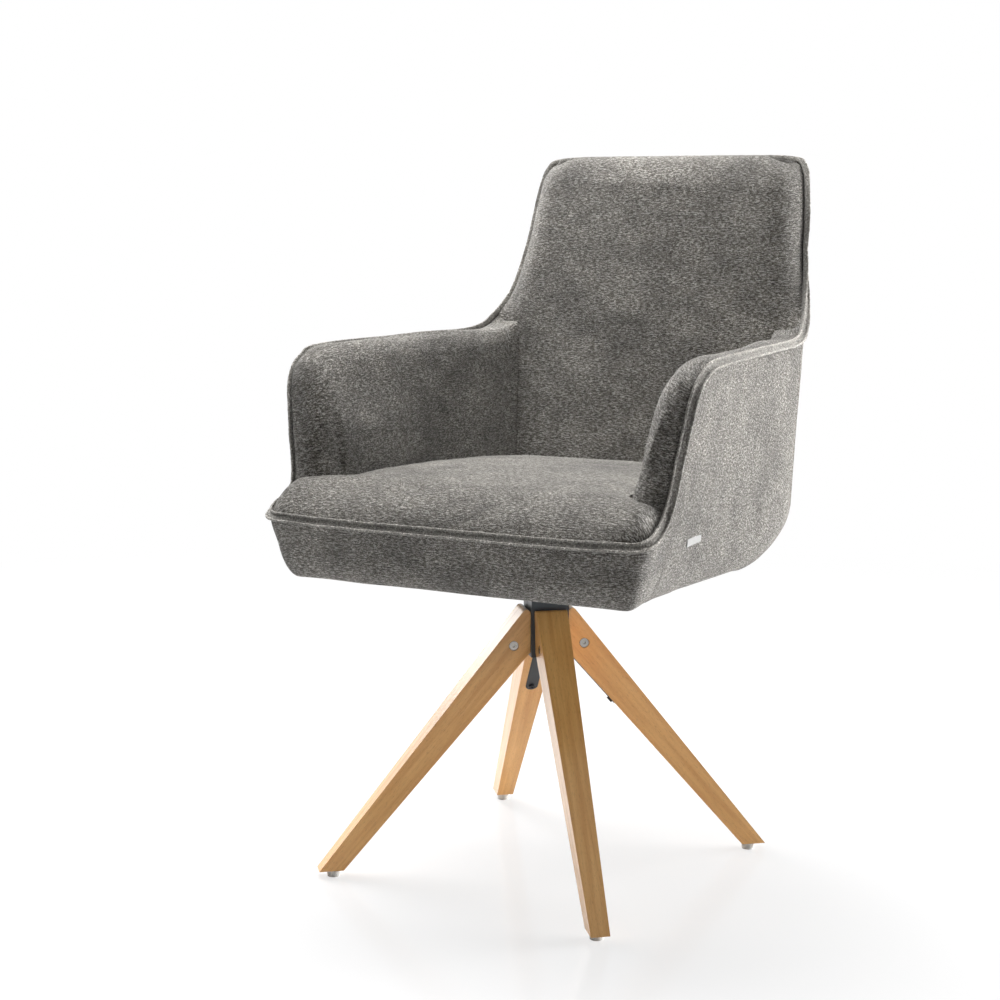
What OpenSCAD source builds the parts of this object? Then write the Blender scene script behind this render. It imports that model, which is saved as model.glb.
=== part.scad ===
// Swivel armchair: a padded bucket seat that turns on a fixed base of four splayed wooden legs.
// The chair faces -Y. The origin is on the floor, under the swivel axis. Millimetres.

/* [Legs] */
// Distance from the swivel axis to the middle of each foot glide
foot_r = 274; // [240:1:300]
// Turn of the leg cross about the swivel axis, away from a square stance
base_turn = -5.8; // [-40:0.1:40]
// Height at which the foot is cut level, above its glide
foot_z = 9; // [8:0.5:14]
// Width of the foot, measured along the floor outwards
foot_len = 31; // [26:0.5:36]
// Thickness of the leg across, at the hub
leg_w_top = 41; // [34:0.5:44]
// Thickness of the leg across, at the foot
leg_w_foot = 23; // [20:0.5:30]
// Height of the lower corner of the leg, where it meets the hub
leg_root_z = 281.5; // [270:0.5:290]
// Height of the upper edge line of the leg, where it meets the hub
leg_peak_z = 347; // [335:0.5:350]
// Rounding of the leg's upper corner, beside the hub
leg_nose_r = 5.5; // [4:0.5:8]

/* [Foot glides] */
// Diameter of a foot glide
glide_d = 19; // [14:0.5:22]
// Diameter of the shank that holds a glide in its leg
glide_pin_d = 5; // [4:0.5:6]
// Depth of the glide's shank in the leg
glide_pin_l = 14; // [10:1:20]

/* [Hub] */
// Width of the square hub tube
hub_w = 48; // [46:1:56]
// Wall of the hub tube
hub_wall = 3; // [2:0.5:4]
// Underside of the hub tube
hub_bottom_z = 276; // [268:1:280]
// Top of the hub tube, without its cap
hub_top_z = 349; // [346:1:352]
// Thickness of the cap welded on the hub
hub_cap_t = 5; // [4:0.5:6]
// Thickness of the tab that sits in the slot of each leg
tab_t = 5; // [4:0.5:6]
// Reach of the tab out of the hub
tab_l = 42; // [38:1:46]
// Height of the tab
tab_h = 22; // [18:1:26]

/* [Leg fixings] */
// Distance of the cross bolt from the swivel axis
bolt_r = 45.5; // [42:0.5:48]
// Height of the cross bolt above the middle of the leg's side
bolt_lift = 2.5; // [0:0.5:4]
// Diameter of the cross bolt
bolt_d = 6; // [5:0.5:8]
// Diameter of the bolt's flat head
bolt_head_d = 11.5; // [10:0.5:13]
// Thickness of the bolt's flat head
bolt_head_t = 2.5; // [2:0.5:3]
// Diameter of the sleeve nut's barrel
sleeve_d = 8; // [7.5:0.5:9]
// Width of the strap under each leg
strap_w = 16; // [12:1:20]
// Thickness of the strap
strap_t = 3; // [2.5:0.5:4]
// Distance from the swivel axis to the middle of the strap's round end
strap_end_r = 85; // [75:1:95]
// Depth of the groove that the strap lies in, under the leg
strap_inset = 2.4; // [1.5:0.1:3]
// Diameter of the strap screw's head
strap_screw_d = 8.5; // [7:0.5:10]
// Length of the strap screw
strap_screw_l = 22; // [18:1:26]

/* [Swivel] */
// Diameter of the spindle that the seat turns on
spindle_d = 22; // [18:1:24]
// Lower end of the spindle
spindle_low_z = 270; // [266:1:272]
// Wall of the two plastic bushes round the spindle
bush_wall = 3; // [2.5:0.5:4]
// Length of each bush
bush_l = 18; // [14:1:22]
// Diameter of the balls in the thrust bearing
ball_d = 6; // [5:0.5:6]
// Number of balls in the thrust bearing
ball_count = 12; // [8:1:14]
// Thickness of each bearing washer
race_t = 3; // [2.5:0.5:3]
// Outer diameter of the bearing washers
race_d = 46; // [42:1:48]
// Side of the square mounting plate under the seat
plate_w = 160; // [140:2:180]
// Thickness of the mounting plate
plate_t = 4; // [3:0.5:5]
// Distance between the mounting plate's screws
screw_pitch = 120; // [100:2:130]
// Diameter of the mounting plate's screws
plate_screw_d = 8; // [6:1:8]

/* [Seat] */
// Width of the seat at its front corners
seat_w = 490; // [460:2:520]
// Distance from the swivel axis to the seat's front welt
seat_front = 268; // [255:1:280]
// Height of the welt along the seat's front
seat_welt_z = 468; // [460:1:476]
// Corner radius of the seat's front, seen from above
seat_corner_r = 38; // [30:1:50]
// Height of the top of the seat's crown
seat_crown_z = 507; // [500:1:512]
// Distance over which the seat rolls down to its front welt
seat_roll = 62; // [50:1:75]
// Drop of the seat from its crown to its rear edge
seat_rear_drop = 16; // [8:1:22]
// Thickness of the plywood seat board
board_t = 15; // [12:1:18]

/* [Shell] */
// Height of the shell's underside
shell_low_z = 386; // [382:1:389]
// Extra height of the underside along its front edge
front_lift = 11; // [6:1:13]
// Width over the arms at the front, at the height of their tops
arm_front_w = 544; // [530:2:560]
// Width over the arms where they meet the back
arm_rear_w = 476; // [460:2:500]
// Height of the welt along the arm tops
arm_top_z = 660; // [640:1:680]
// Height of the back's top
back_top_z = 898; // [860:1:930]
// Width of the back at its top
back_top_w = 384; // [350:2:410]
// Distance from the swivel axis to the line of the outer back, at the underside's height
back_foot_y = 235.6; // [225:0.2:245]
// Lean of the outer back for each millimetre of height
back_lean = 0.325; // [0.25:0.005:0.38]
// Outward lean of the arms for each millimetre of height
arm_lean = 0.165; // [0.14:0.005:0.18]
// Thickness of the outer cover cloth with its fleece
cover_t = 3; // [2:0.5:4]
// Thickness of the moulded plywood inside the arms and the back
frame_t = 14; // [10:1:16]
// Thickness of an arm with its padding, beside the back
arm_t = 39; // [36:1:44]
// Extra padding on the inside of the arms at their front ends
arm_swell = 18; // [8:1:22]
// Distance from the swivel axis to the front of the back's padding, at the seat
back_face_y = 240; // [232:1:250]
// Lean of the padding's front for each millimetre of height
back_face_lean = 0.28; // [0.24:0.01:0.3]

/* [Welt] */
// Width of the double welt
welt_w = 11; // [8:0.5:13]
// Thickness of the double welt
welt_t = 6; // [4:0.5:7]
// Width of the small blank cloth tag on the outer arm
tag_w = 36; // [20:1:40]
// Height of the tag
tag_h = 10; // [7:1:14]

/* [Hidden] */

// Clearances
wood_gap = 0.2;
slide_gap = 0.15;
run_gap = 0.08;
turn_gap = 0.3;
soft_gap = 0.4;
cloth_gap = 0.7;
pad_gap = 1.8;
// Facets of round pieces
$fn = 64;

// Legs: each is drawn along +X and turned to its corner
leg_turns = [for (k = [0:3]) base_turn - 45 + 90 * k];
leg_in = hub_w / 2;
foot_out = foot_r + foot_len * 0.63;
foot_in = foot_out - foot_len;
under_slope = (foot_z - leg_root_z) / (foot_in - leg_in);
over_slope = (foot_z - leg_peak_z) / (foot_out - leg_in);
under_angle = atan(under_slope);
function under_z(r) = leg_root_z + under_slope * (r - leg_in);
function over_z(r) = leg_peak_z + over_slope * (r - leg_in);
nose_tangent = leg_nose_r / tan((90 + atan(over_slope)) / 2);
nose_z = leg_peak_z - nose_tangent;
function tab_mid_z(r) = (under_z(r) + over_z(r)) / 2;
module tab_outline(grow) offset(delta = grow) polygon([
    [leg_in, tab_mid_z(leg_in) + tab_h / 2], [leg_in + tab_l, tab_mid_z(leg_in + tab_l) + tab_h / 2],
    [leg_in + tab_l, tab_mid_z(leg_in + tab_l) - tab_h / 2], [leg_in, tab_mid_z(leg_in) - tab_h / 2]]);
bore_gap = 0.3;
bolt_z = tab_mid_z(bolt_r) + bolt_lift;
counterbore_d = bolt_head_d + 1.5;
counterbore_h = bolt_head_t + 0.5;
function leg_half_w(z) =
    (leg_w_foot + (leg_w_top - leg_w_foot) * (z - foot_z) / (leg_peak_z - foot_z)) / 2;
bolt_face = leg_half_w(bolt_z);

// Swivel stack, from the hub's cap upwards
cap_top_z = hub_top_z + hub_cap_t;
lower_race_z = cap_top_z;
ball_mid_z = lower_race_z + race_t + turn_gap + ball_d / 2;
upper_race_z = ball_mid_z + ball_d / 2;
housing_low_z = upper_race_z + race_t;
ball_ring_r = race_d / 2 - ball_d / 2 - 2;
plate_top_z = shell_low_z + 15;
plate_low_z = plate_top_z - plate_t;
bush_out_d = spindle_d + 2 * (run_gap + bush_wall);
upper_bush_top_z = cap_top_z;
lower_bush_low_z = hub_bottom_z;
bridge_t = 5;
ring_groove = 1.5;
ring_t = 2;
washer_t = 1.5;
ring_z = lower_bush_low_z - turn_gap - washer_t - ring_t;
board_low_z = plate_top_z;
board_top_z = board_low_z + board_t;
cushion_low_z = seat_welt_z - 2;
foam_top_z = cushion_low_z - soft_gap;
screw_at = screw_pitch / 2;
tee_nut_d = 22;

// Half-width of the outer arm at a place along the arm and a height
arm_rear_y = 250;
arm_front_y = 150;
function arm_x(y, z) = (arm_rear_w + (arm_front_w - arm_rear_w)
    * (arm_rear_y - y) / (arm_rear_y + arm_front_y)) / 2
    - arm_lean * (arm_top_z - z);
function arm_point(y, z) = [arm_x(y, z), y, z];
// Towards the back, the outer side of the arm stands up straighter than its inner side
arm_stand = 0.85;
arm_stand_y = -100;
function lean_at(y) = arm_lean * (1 - arm_stand * smooth((y - arm_stand_y) / (arm_rear_y - arm_stand_y)));
function outer_x(y, z) = arm_x(y, z) + (arm_lean - lean_at(y)) * (arm_top_z - z);
// Thickness of the arm's padding at a place along the arm
swell_y = 46;
swell_run = 300;
function arm_thick(y) = arm_t + arm_swell * (1 - smooth((y - foot_y - swell_y) / swell_run));

// The rim: the line that the welt follows round the seat's front, the arms and the back.
// It is given for the sitter's left half, from the middle of the seat's front to the
// middle of the back's top, and is mirrored for the other half.
seat_half = seat_w / 2;
top_half = back_top_w / 2;
foot_y = -(seat_front - 72);
rise = arm_top_z - seat_welt_z;
over_arm = back_top_z - arm_top_z;
// Line of the outer back, and a point of the back's rim in front of it
function back_line(z) = back_foot_y + back_lean * (z - shell_low_z);
function back_point(x, in_front, z) = [x, back_line(z) - in_front, z];
RIM = [
    [0, -seat_front, seat_welt_z],
    [seat_half / 2, -seat_front, seat_welt_z],
    [seat_half - seat_corner_r, -seat_front + 3, seat_welt_z + 1],
    [seat_half + 1, -seat_front + 20, seat_welt_z + rise * 0.02],
    arm_point(foot_y, seat_welt_z + rise * 0.17),
    arm_point(foot_y + 14, seat_welt_z + rise * 0.53),
    arm_point(foot_y + 30, seat_welt_z + rise * 0.84),
    arm_point(foot_y + 53, arm_top_z - 5),
    arm_point(foot_y + 95, arm_top_z),
    arm_point(120, arm_top_z),
    arm_point(arm_rear_y - 5, arm_top_z + 2),
    back_point(top_half + 38, 35.6, arm_top_z + over_arm * 0.09),
    back_point(top_half + 25, 10, arm_top_z + over_arm * 0.25),
    back_point(top_half + 14, 4.6, arm_top_z + over_arm * 0.49),
    back_point(top_half + 7, 6, arm_top_z + over_arm * 0.78),
    back_point(top_half - 1, 5.8, back_top_z - 13),
    back_point(top_half - 20, 3.4, back_top_z - 2),
    back_point(top_half / 2, 1, back_top_z),
    back_point(0, 0, back_top_z)
];
RIM_END = len(RIM) - 1;
// Stations along the rim where one covered part ends and the next begins
ST_APRON = 2;
ST_FOOT = 4;
ST_ARM_REAR = 10.3;

function flip(p) = [-p[0], p[1], p[2]];
function rim_knot(i) = i < 0 ? flip(RIM[-i]) : i > RIM_END ? flip(RIM[2 * RIM_END - i]) : RIM[i];
function through(a, b, c, d, t) = 0.5 * (2 * b + (c - a) * t
    + (2 * a - 5 * b + 4 * c - d) * t * t + (3 * b - a - 3 * c + d) * t * t * t);
function rim(u) = u < 0 ? flip(rim(-u)) : u > RIM_END ? flip(rim(2 * RIM_END - u)) :
    let (i = min(floor(u), RIM_END - 1))
    through(rim_knot(i - 1), rim_knot(i), rim_knot(i + 1), rim_knot(i + 2), u - i);

// The outer skin below the rim: it leans in on its way down, then rounds under
front_lean = 0.26;
front_tuck = 16;
front_round = 30;
side_tuck = 28;
side_round = 46;
rear_round = 67;
rear_low_y = 94;
rear_low_curve = 8;
rear_low_ease = 8;
rear_ease_run = 120;
rear_narrow = 0.13;
rear_flare = 0.03;
back_bulge = 20;
function clamp(v) = max(0, min(1, v));
function smooth(v) = let (c = clamp(v)) c * c * (3 - 2 * c);
function front_share(u) = 1 - smooth((u - 1.6) / 2.2);
function rear_share(u) = smooth((u - 9) / 3.3);
function low_z(u) = shell_low_z + front_lift * (1 - smooth((rim(u)[1] + seat_front) / 300));
// Distance that the rear of the skin is drawn forwards at its foot
function rear_tuck(u) =
    let (p = rim(u), past = p[1] - back_lean * rear_share(u) * (p[2] - shell_low_z) - rear_low_y)
    max(0, past - rear_low_ease * smooth(past / rear_ease_run) - rear_low_curve * smooth((u - 9) / 6));
function round_h(u) = let (f = front_share(u), r = clamp(rear_tuck(u) / 100))
    front_round * f + (1 - f) * (side_round + (rear_round - side_round) * r);
function skin_right(u, z) =
    let (p = rim(u), f = front_share(u), r = rear_share(u), s = 1 - f - r,
        drop = p[2] - z,
        w = clamp((low_z(u) + round_h(u) - z) / round_h(u)),
        e = 1 - sqrt(1 - w * w),
        bulge = back_bulge * r * (1 - pow(p[0] / (top_half + 45), 2))
            * sin(180 * clamp((z - shell_low_z) / (p[2] - shell_low_z))))
    [p[0] - lean_at(p[1]) * s * drop - side_tuck * s * e - seat_corner_r * 0.15 * f * e * p[0] / seat_half
        + p[0] * r * (rear_flare * drop / (back_top_z - shell_low_z) - rear_narrow * e),
     p[1] + front_lean * f * drop - back_lean * r * drop + front_tuck * f * e - rear_tuck(u) * e + bulge,
     z];
function skin(u, z) = u < 0 ? flip(skin_right(-u, z))
    : u > RIM_END ? flip(skin_right(2 * RIM_END - u, z)) : skin_right(u, z);
function unit(v) = v / norm(v);
function skin_normal(u, z) =
    let (du = skin(u + 0.02, z) - skin(u - 0.02, z), dz = skin(u, z + 0.5) - skin(u, z - 0.5))
    unit(cross(du, dz));
// Point under the skin, at a depth inwards, and the same at the skin point's own height
function right_half(u) = u < 0 ? -u : u > RIM_END ? 2 * RIM_END - u : u;
function under_skin(u, z, depth) =
    skin(u, z) - depth * skin_normal(u, max(z, low_z(right_half(u)) + 1.5));
function level_under(u, z, depth) =
    let (p = skin(u, z), n = skin_normal(u, z), h = n[0] * n[0] + n[1] * n[1])
    [p[0] - depth * n[0] / h, p[1] - depth * n[1] / h, z];
// Height of a row: even steps down to the rounding, then even angles round it
function row_z(u, k, straight, curved, top_drop) =
    let (top = rim(u)[2] - top_drop, h = round_h(right_half(u)), low = low_z(right_half(u)) + h)
    k <= straight ? top + (low - top) * k / straight
        : low - h * sin(90 * (k - straight) / curved);

// A sheet with two faces and four edges, from two equal grids of points
module sheet(outer, inner) {
    rows = len(outer);
    cols = len(outer[0]);
    n = rows * cols;
    points = [for (row = outer) for (p = row) p, for (row = inner) for (p = row) p];
    function at(i, j) = i * cols + j;
    faces = [
        for (i = [0:rows - 2], j = [0:cols - 2]) each [
            [at(i, j), at(i + 1, j + 1), at(i, j + 1)],
            [at(i, j), at(i + 1, j), at(i + 1, j + 1)],
            [n + at(i, j), n + at(i, j + 1), n + at(i + 1, j + 1)],
            [n + at(i, j), n + at(i + 1, j + 1), n + at(i + 1, j)]],
        for (i = [0:rows - 2]) each [
            [at(i, 0), n + at(i + 1, 0), at(i + 1, 0)],
            [at(i, 0), n + at(i, 0), n + at(i + 1, 0)],
            [at(i + 1, cols - 1), n + at(i, cols - 1), at(i, cols - 1)],
            [at(i + 1, cols - 1), n + at(i + 1, cols - 1), n + at(i, cols - 1)]],
        for (j = [0:cols - 2]) each [
            [at(0, j + 1), n + at(0, j), at(0, j)],
            [at(0, j + 1), n + at(0, j + 1), n + at(0, j)],
            [at(rows - 1, j), n + at(rows - 1, j + 1), at(rows - 1, j + 1)],
            [at(rows - 1, j), n + at(rows - 1, j), n + at(rows - 1, j + 1)]]];
    polyhedron(points, faces, convexity = 6);
}

// A closed form from a row of equal flat loops
module loft(loops) {
    count = len(loops);
    size = len(loops[0]);
    points = [for (loop = loops) for (p = loop) p];
    faces = [
        [for (j = [0:size - 1]) j],
        [for (j = [size - 1:-1:0]) (count - 1) * size + j],
        for (i = [0:count - 2], j = [0:size - 1])
            let (k = (j + 1) % size, a = i * size, b = (i + 1) * size)
            each [[a + j, b + j, b + k], [a + j, b + k, a + k]]];
    polyhedron(points, faces, convexity = 6);
}

// A sheet that follows the skin between two stations, from the rim down to the underside
module skin_sheet(u0, u1, cols, straight, curved, top_drop, depth0, depth1) {
    stations = [for (i = [0:cols]) u0 + (u1 - u0) * i / cols];
    last = straight + curved;
    // The skin lies level along its foot, so its inner face is straight above it there
    function grid(depth) = [for (u = stations) [for (k = [0:last])
        let (z = row_z(u, k, straight, curved, top_drop))
        k < last ? under_skin(u, z, depth) : skin(u, z) + [0, 0, depth]]];
    sheet(grid(depth0), grid(depth1));
}

// A sheet that follows the skin between two stations and two heights
module skin_panel(u0, u1, cols, rows, top_drop, low_z, depth0, depth1) {
    stations = [for (i = [0:cols]) u0 + (u1 - u0) * i / cols];
    function grid(depth) = [for (u = stations) let (top = rim(u)[2] - top_drop)
        [for (k = [0:rows]) under_skin(u, top + (low_z - top) * k / rows, depth)]];
    sheet(grid(depth0), grid(depth1));
}

// Base
NOSE_STEPS = 8;
leg_face = leg_in + wood_gap;
module leg(turn) {
    nose = [leg_face + leg_nose_r, nose_z];
    rotate([0, 0, turn]) difference() {
        intersection() {
            rotate([90, 0, 0]) linear_extrude(2 * leg_w_top, center = true) polygon(concat(
                [[leg_face, leg_root_z]],
                [for (k = [0:NOSE_STEPS]) let (a = 180 - (90 - atan(over_slope)) * k / NOSE_STEPS)
                    nose + leg_nose_r * [cos(a), sin(a)]],
                [[foot_out, foot_z], [foot_in, foot_z]]));
            rotate([90, 0, 90]) linear_extrude(foot_out) polygon([
                [-leg_w_foot / 2, foot_z], [leg_w_foot / 2, foot_z],
                [leg_w_top / 2, leg_peak_z], [-leg_w_top / 2, leg_peak_z]]);
        }
        rotate([90, 0, 0]) linear_extrude(tab_t + 2 * wood_gap, center = true) tab_outline(1);
        translate([bolt_r, 0, bolt_z]) rotate([90, 0, 0]) {
            cylinder(h = 2 * leg_w_top, d = sleeve_d + bore_gap, center = true);
            for (side = [0, 1]) mirror([0, 0, side])
                translate([0, 0, bolt_face - counterbore_h]) cylinder(h = leg_w_top, d = counterbore_d);
        }
        translate([foot_r, 0, foot_z - 1])
            cylinder(h = glide_pin_l + 1 + wood_gap, d = glide_pin_d + wood_gap);
        strap_place() {
            translate([0, 0, -1]) cylinder(h = strap_screw_l, d = strap_screw_d * 0.45 + bore_gap);
            translate([0, 0, -1]) linear_extrude(strap_inset + 1) strap_outline(wood_gap);
        }
    }
}
module leg_front_left() color("burlywood") leg(leg_turns[0]);
module leg_rear_left() color("burlywood") leg(leg_turns[1]);
module leg_rear_right() color("burlywood") leg(leg_turns[2]);
module leg_front_right() color("burlywood") leg(leg_turns[3]);

module foot_glides() color("whitesmoke") for (turn = leg_turns) rotate([0, 0, turn])
    translate([foot_r, 0, 0]) {
        cylinder(h = foot_z, d1 = glide_d - 3, d2 = glide_d);
        cylinder(h = foot_z + glide_pin_l, d = glide_pin_d);
    }

module hub() color("dimgray") {
    translate([0, 0, hub_bottom_z]) linear_extrude(hub_top_z - hub_bottom_z)
        rotate(base_turn + 45) difference() {
            square(hub_w, center = true);
            square(hub_w - 2 * hub_wall, center = true);
        }
    difference() {
        union() {
            translate([0, 0, hub_top_z]) linear_extrude(hub_cap_t)
                rotate(base_turn + 45) square(hub_w, center = true);
            translate([0, 0, hub_bottom_z]) linear_extrude(bridge_t)
                rotate(base_turn + 45) square(hub_w - 2 * hub_wall, center = true);
            translate([0, 0, hub_bottom_z]) cylinder(h = bush_l + 2, d = bush_out_d + 5);
            translate([0, 0, hub_top_z - bush_l + hub_cap_t - 2])
                cylinder(h = bush_l - hub_cap_t + 3, d = bush_out_d + 5);
        }
        translate([0, 0, hub_bottom_z - 1])
            cylinder(h = cap_top_z - hub_bottom_z + 2, d = bush_out_d + wood_gap);
    }
    for (turn = leg_turns) rotate([0, 0, turn]) difference() {
        rotate([90, 0, 0]) linear_extrude(tab_t, center = true) tab_outline(0);
        translate([bolt_r, 0, bolt_z]) rotate([90, 0, 0])
            cylinder(h = 2 * tab_t, d = sleeve_d + bore_gap, center = true);
    }
}

module hex_socket(across, depth) cylinder(h = depth, d = across / cos(30), $fn = 6);

// Each bolt is a flat head and a short screw that ends inside the sleeve nut
bolt_joint = 3;
module leg_bolts() color("silver") for (turn = leg_turns) rotate([0, 0, turn])
    translate([bolt_r, 0, bolt_z]) rotate([90, 0, 0]) difference() {
        union() {
            translate([0, 0, bolt_face - counterbore_h]) cylinder(h = bolt_head_t, d = bolt_head_d);
            translate([0, 0, bolt_joint]) cylinder(h = bolt_face - counterbore_h - bolt_joint + 1,
                d = bolt_d);
        }
        translate([0, 0, bolt_face - counterbore_h + bolt_head_t - 2]) hex_socket(4, 3);
    }

module sleeve_nuts() color("silver") for (turn = leg_turns) rotate([0, 0, turn])
    translate([bolt_r, 0, bolt_z]) rotate([-90, 0, 0]) difference() {
        union() {
            translate([0, 0, bolt_face - counterbore_h]) cylinder(h = bolt_head_t, d = bolt_head_d);
            translate([0, 0, -bolt_face * 0.55])
                cylinder(h = bolt_face * 1.55 - counterbore_h + 1, d = sleeve_d);
        }
        translate([0, 0, -bolt_face]) cylinder(h = bolt_face + bolt_joint, d = bolt_d + 2 * slide_gap);
        translate([0, 0, bolt_face - counterbore_h + bolt_head_t - 2]) hex_socket(4, 3);
    }

// Moves a shape drawn at the origin, with +Z into the wood, to the strap's screw
module strap_place() translate([strap_end_r, 0, under_z(strap_end_r)])
    rotate([0, -under_angle, 0]) children();

strap_run = (strap_end_r - leg_in) / cos(under_angle);
module strap_outline(grow) {
    translate([-strap_run - strap_w, -strap_w / 2 - grow])
        square([strap_run + strap_w, strap_w + 2 * grow]);
    circle(d = strap_w + 2 * grow);
}
module leg_straps() color("dimgray") for (turn = leg_turns) rotate([0, 0, turn]) difference() {
    intersection() {
        strap_place() translate([0, 0, strap_inset - strap_t]) linear_extrude(strap_t) strap_outline(0);
        translate([leg_in - 8, -strap_w, 0]) cube([foot_out, 2 * strap_w, hub_bottom_z]);
    }
    strap_place() translate([0, 0, -strap_t])
        cylinder(h = 3 * strap_t, d = strap_screw_d * 0.45 + bore_gap);
}

module strap_screws() color("black") for (turn = leg_turns) rotate([0, 0, turn]) strap_place()
    difference() {
        union() {
            translate([0, 0, strap_inset - strap_t - 2.2]) cylinder(h = 2.2, d = strap_screw_d);
            translate([0, 0, strap_inset - strap_t - 1])
                cylinder(h = strap_screw_l - 2, d = strap_screw_d * 0.45);
        }
        translate([0, 0, strap_inset - strap_t - 3.2]) hex_socket(3, 2.5);
    }

// Swivel
module bush(low_z) translate([0, 0, low_z]) difference() {
    cylinder(h = bush_l, d = bush_out_d);
    translate([0, 0, -1]) cylinder(h = bush_l + 2, d = spindle_d + 2 * run_gap);
}
module lower_bush() color("ivory") bush(lower_bush_low_z);
module upper_bush() color("ivory") bush(upper_bush_top_z - bush_l);

module race(low_z) translate([0, 0, low_z]) difference() {
    cylinder(h = race_t, d = race_d);
    translate([0, 0, -1]) cylinder(h = race_t + 2, d = spindle_d + 2 * turn_gap);
}
module lower_race() color("silver") race(lower_race_z);
module upper_race() color("silver") race(upper_race_z);

module ball_cage() color("goldenrod") difference() {
    translate([0, 0, ball_mid_z - 1.25]) cylinder(h = 2.5, d = race_d - 2);
    cylinder(h = plate_top_z, d = spindle_d + 4 * turn_gap);
    for (k = [0:ball_count - 1]) rotate([0, 0, k * 360 / ball_count])
        translate([ball_ring_r, 0, ball_mid_z - 3]) cylinder(h = 6, d = ball_d + turn_gap);
}
module bearing_balls() color("silver") for (k = [0:ball_count - 1])
    rotate([0, 0, k * 360 / ball_count]) translate([ball_ring_r, 0, ball_mid_z]) sphere(d = ball_d);

// The spindle has a groove near its lower end for the retaining ring
module spindle() color("silver") difference() {
    translate([0, 0, spindle_low_z - 4]) cylinder(h = plate_low_z - spindle_low_z + 4, d = spindle_d);
    translate([0, 0, ring_z - slide_gap]) difference() {
        cylinder(h = ring_t + 2 * slide_gap, d = spindle_d + 2);
        translate([0, 0, -1]) cylinder(h = ring_t + 3, d = spindle_d - 2 * ring_groove);
    }
}
module end_washer() color("silver") translate([0, 0, ring_z + ring_t]) difference() {
    cylinder(h = washer_t, d = spindle_d + 12);
    translate([0, 0, -1]) cylinder(h = washer_t + 2, d = spindle_d + 2 * slide_gap);
}
module retaining_ring() color("dimgray") translate([0, 0, ring_z]) difference() {
    cylinder(h = ring_t, d = spindle_d + 6);
    translate([0, 0, -1]) cylinder(h = ring_t + 2, d = spindle_d - 2 * ring_groove + 2 * slide_gap);
    translate([0, -2, -1]) cube([spindle_d, 4, ring_t + 2]);
}

// A pressed housing on the spindle, with the square plate welded on it
module mounting_plate() color("dimgray") difference() {
    union() {
        translate([-plate_w / 2, -plate_w / 2, plate_low_z]) cube([plate_w, plate_w, plate_t]);
        translate([0, 0, housing_low_z]) cylinder(h = 6, d = race_d + 8);
        translate([0, 0, housing_low_z + 6])
            cylinder(h = plate_low_z - housing_low_z - 6, d1 = race_d + 8, d2 = plate_w * 0.62);
    }
    translate([0, 0, housing_low_z - 1])
        cylinder(h = plate_low_z - housing_low_z + 1, d = spindle_d + wood_gap);
    for (x = [-screw_at, screw_at], y = [-screw_at, screw_at])
        translate([x, y, plate_low_z - 1]) cylinder(h = plate_t + 2, d = plate_screw_d + 1);
}

module plate_screws() color("silver") for (x = [-screw_at, screw_at], y = [-screw_at, screw_at])
    translate([x, y, plate_low_z]) difference() {
        union() {
            translate([0, 0, -4]) cylinder(h = 4, d = plate_screw_d * 1.8);
            cylinder(h = plate_t + board_t - 1, d = plate_screw_d);
        }
        translate([0, 0, -5]) hex_socket(5, 3.5);
    }

module tee_nuts() color("silver") for (x = [-screw_at, screw_at], y = [-screw_at, screw_at])
    translate([x, y, board_low_z]) difference() {
        union() {
            translate([0, 0, 3]) cylinder(h = board_t - 3, d = plate_screw_d + 3);
            translate([0, 0, board_t]) cylinder(h = 1.5, d = tee_nut_d);
        }
        cylinder(h = board_t + 3, d = plate_screw_d + 2 * slide_gap);
    }

// Seat
rail_t = 18;
rail_top_z = foam_top_z;
board_front = seat_front - 52;
board_rear = 150;
rail_rear = 60;
board_inset = 8;
rail_inset = 4;
function rail_x(y) = arm_x(y, frame_low_z) - frame_depth - rail_inset;
rail_ys = [-board_front + 14, -90, -20, rail_rear];
module board_outline(inset) polygon(concat(
    [for (y = rail_ys) [rail_x(y) - inset, y]],
    [[rail_x(rail_rear) - 40, board_rear], [-rail_x(rail_rear) + 40, board_rear]],
    [for (k = [len(rail_ys) - 1:-1:0]) [-rail_x(rail_ys[k]) + inset, rail_ys[k]]],
    [[-rail_x(-board_front) + 26, -board_front], [rail_x(-board_front) - 26, -board_front]]));

module seat_board() color("tan") difference() {
    translate([0, 0, board_low_z]) linear_extrude(board_t) board_outline(board_inset);
    for (x = [-screw_at, screw_at], y = [-screw_at, screw_at])
        translate([x, y, board_low_z - 1]) cylinder(h = board_t + 2, d = plate_screw_d + 3 + wood_gap);
}

module base_foam() color("khaki") difference() {
    translate([0, 0, board_top_z]) linear_extrude(foam_top_z - board_top_z)
        board_outline(rail_t + soft_gap);
    for (x = [-screw_at, screw_at], y = [-screw_at, screw_at])
        translate([x, y, board_top_z - 1]) cylinder(h = 3, d = tee_nut_d + 1);
}

module front_rail() color("tan")
    translate([-rail_x(-board_front) + 30, -board_front - rail_t, board_low_z])
        cube([2 * (rail_x(-board_front) - 30), rail_t, rail_top_z - board_low_z]);
module side_rails() color("tan") for (side = [0, 1]) mirror([side, 0, 0])
    translate([0, 0, board_top_z]) linear_extrude(rail_top_z - board_top_z) polygon(concat(
        [for (y = rail_ys) [rail_x(y), y]],
        [for (k = [len(rail_ys) - 1:-1:0]) [rail_x(rail_ys[k]) - rail_t, rail_ys[k]]]));

// Front face of the back's padding, and its half-width, at a height
seam_low_z = 488;
function face_y(z) = back_face_y + back_face_lean * (z - seam_low_z);
function inner_half(z) = arm_x(face_y(z), z) - arm_t - 2;
function swell(d, reach) = let (k = 1 - clamp(d / reach)) sqrt(1 - k * k);

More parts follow.
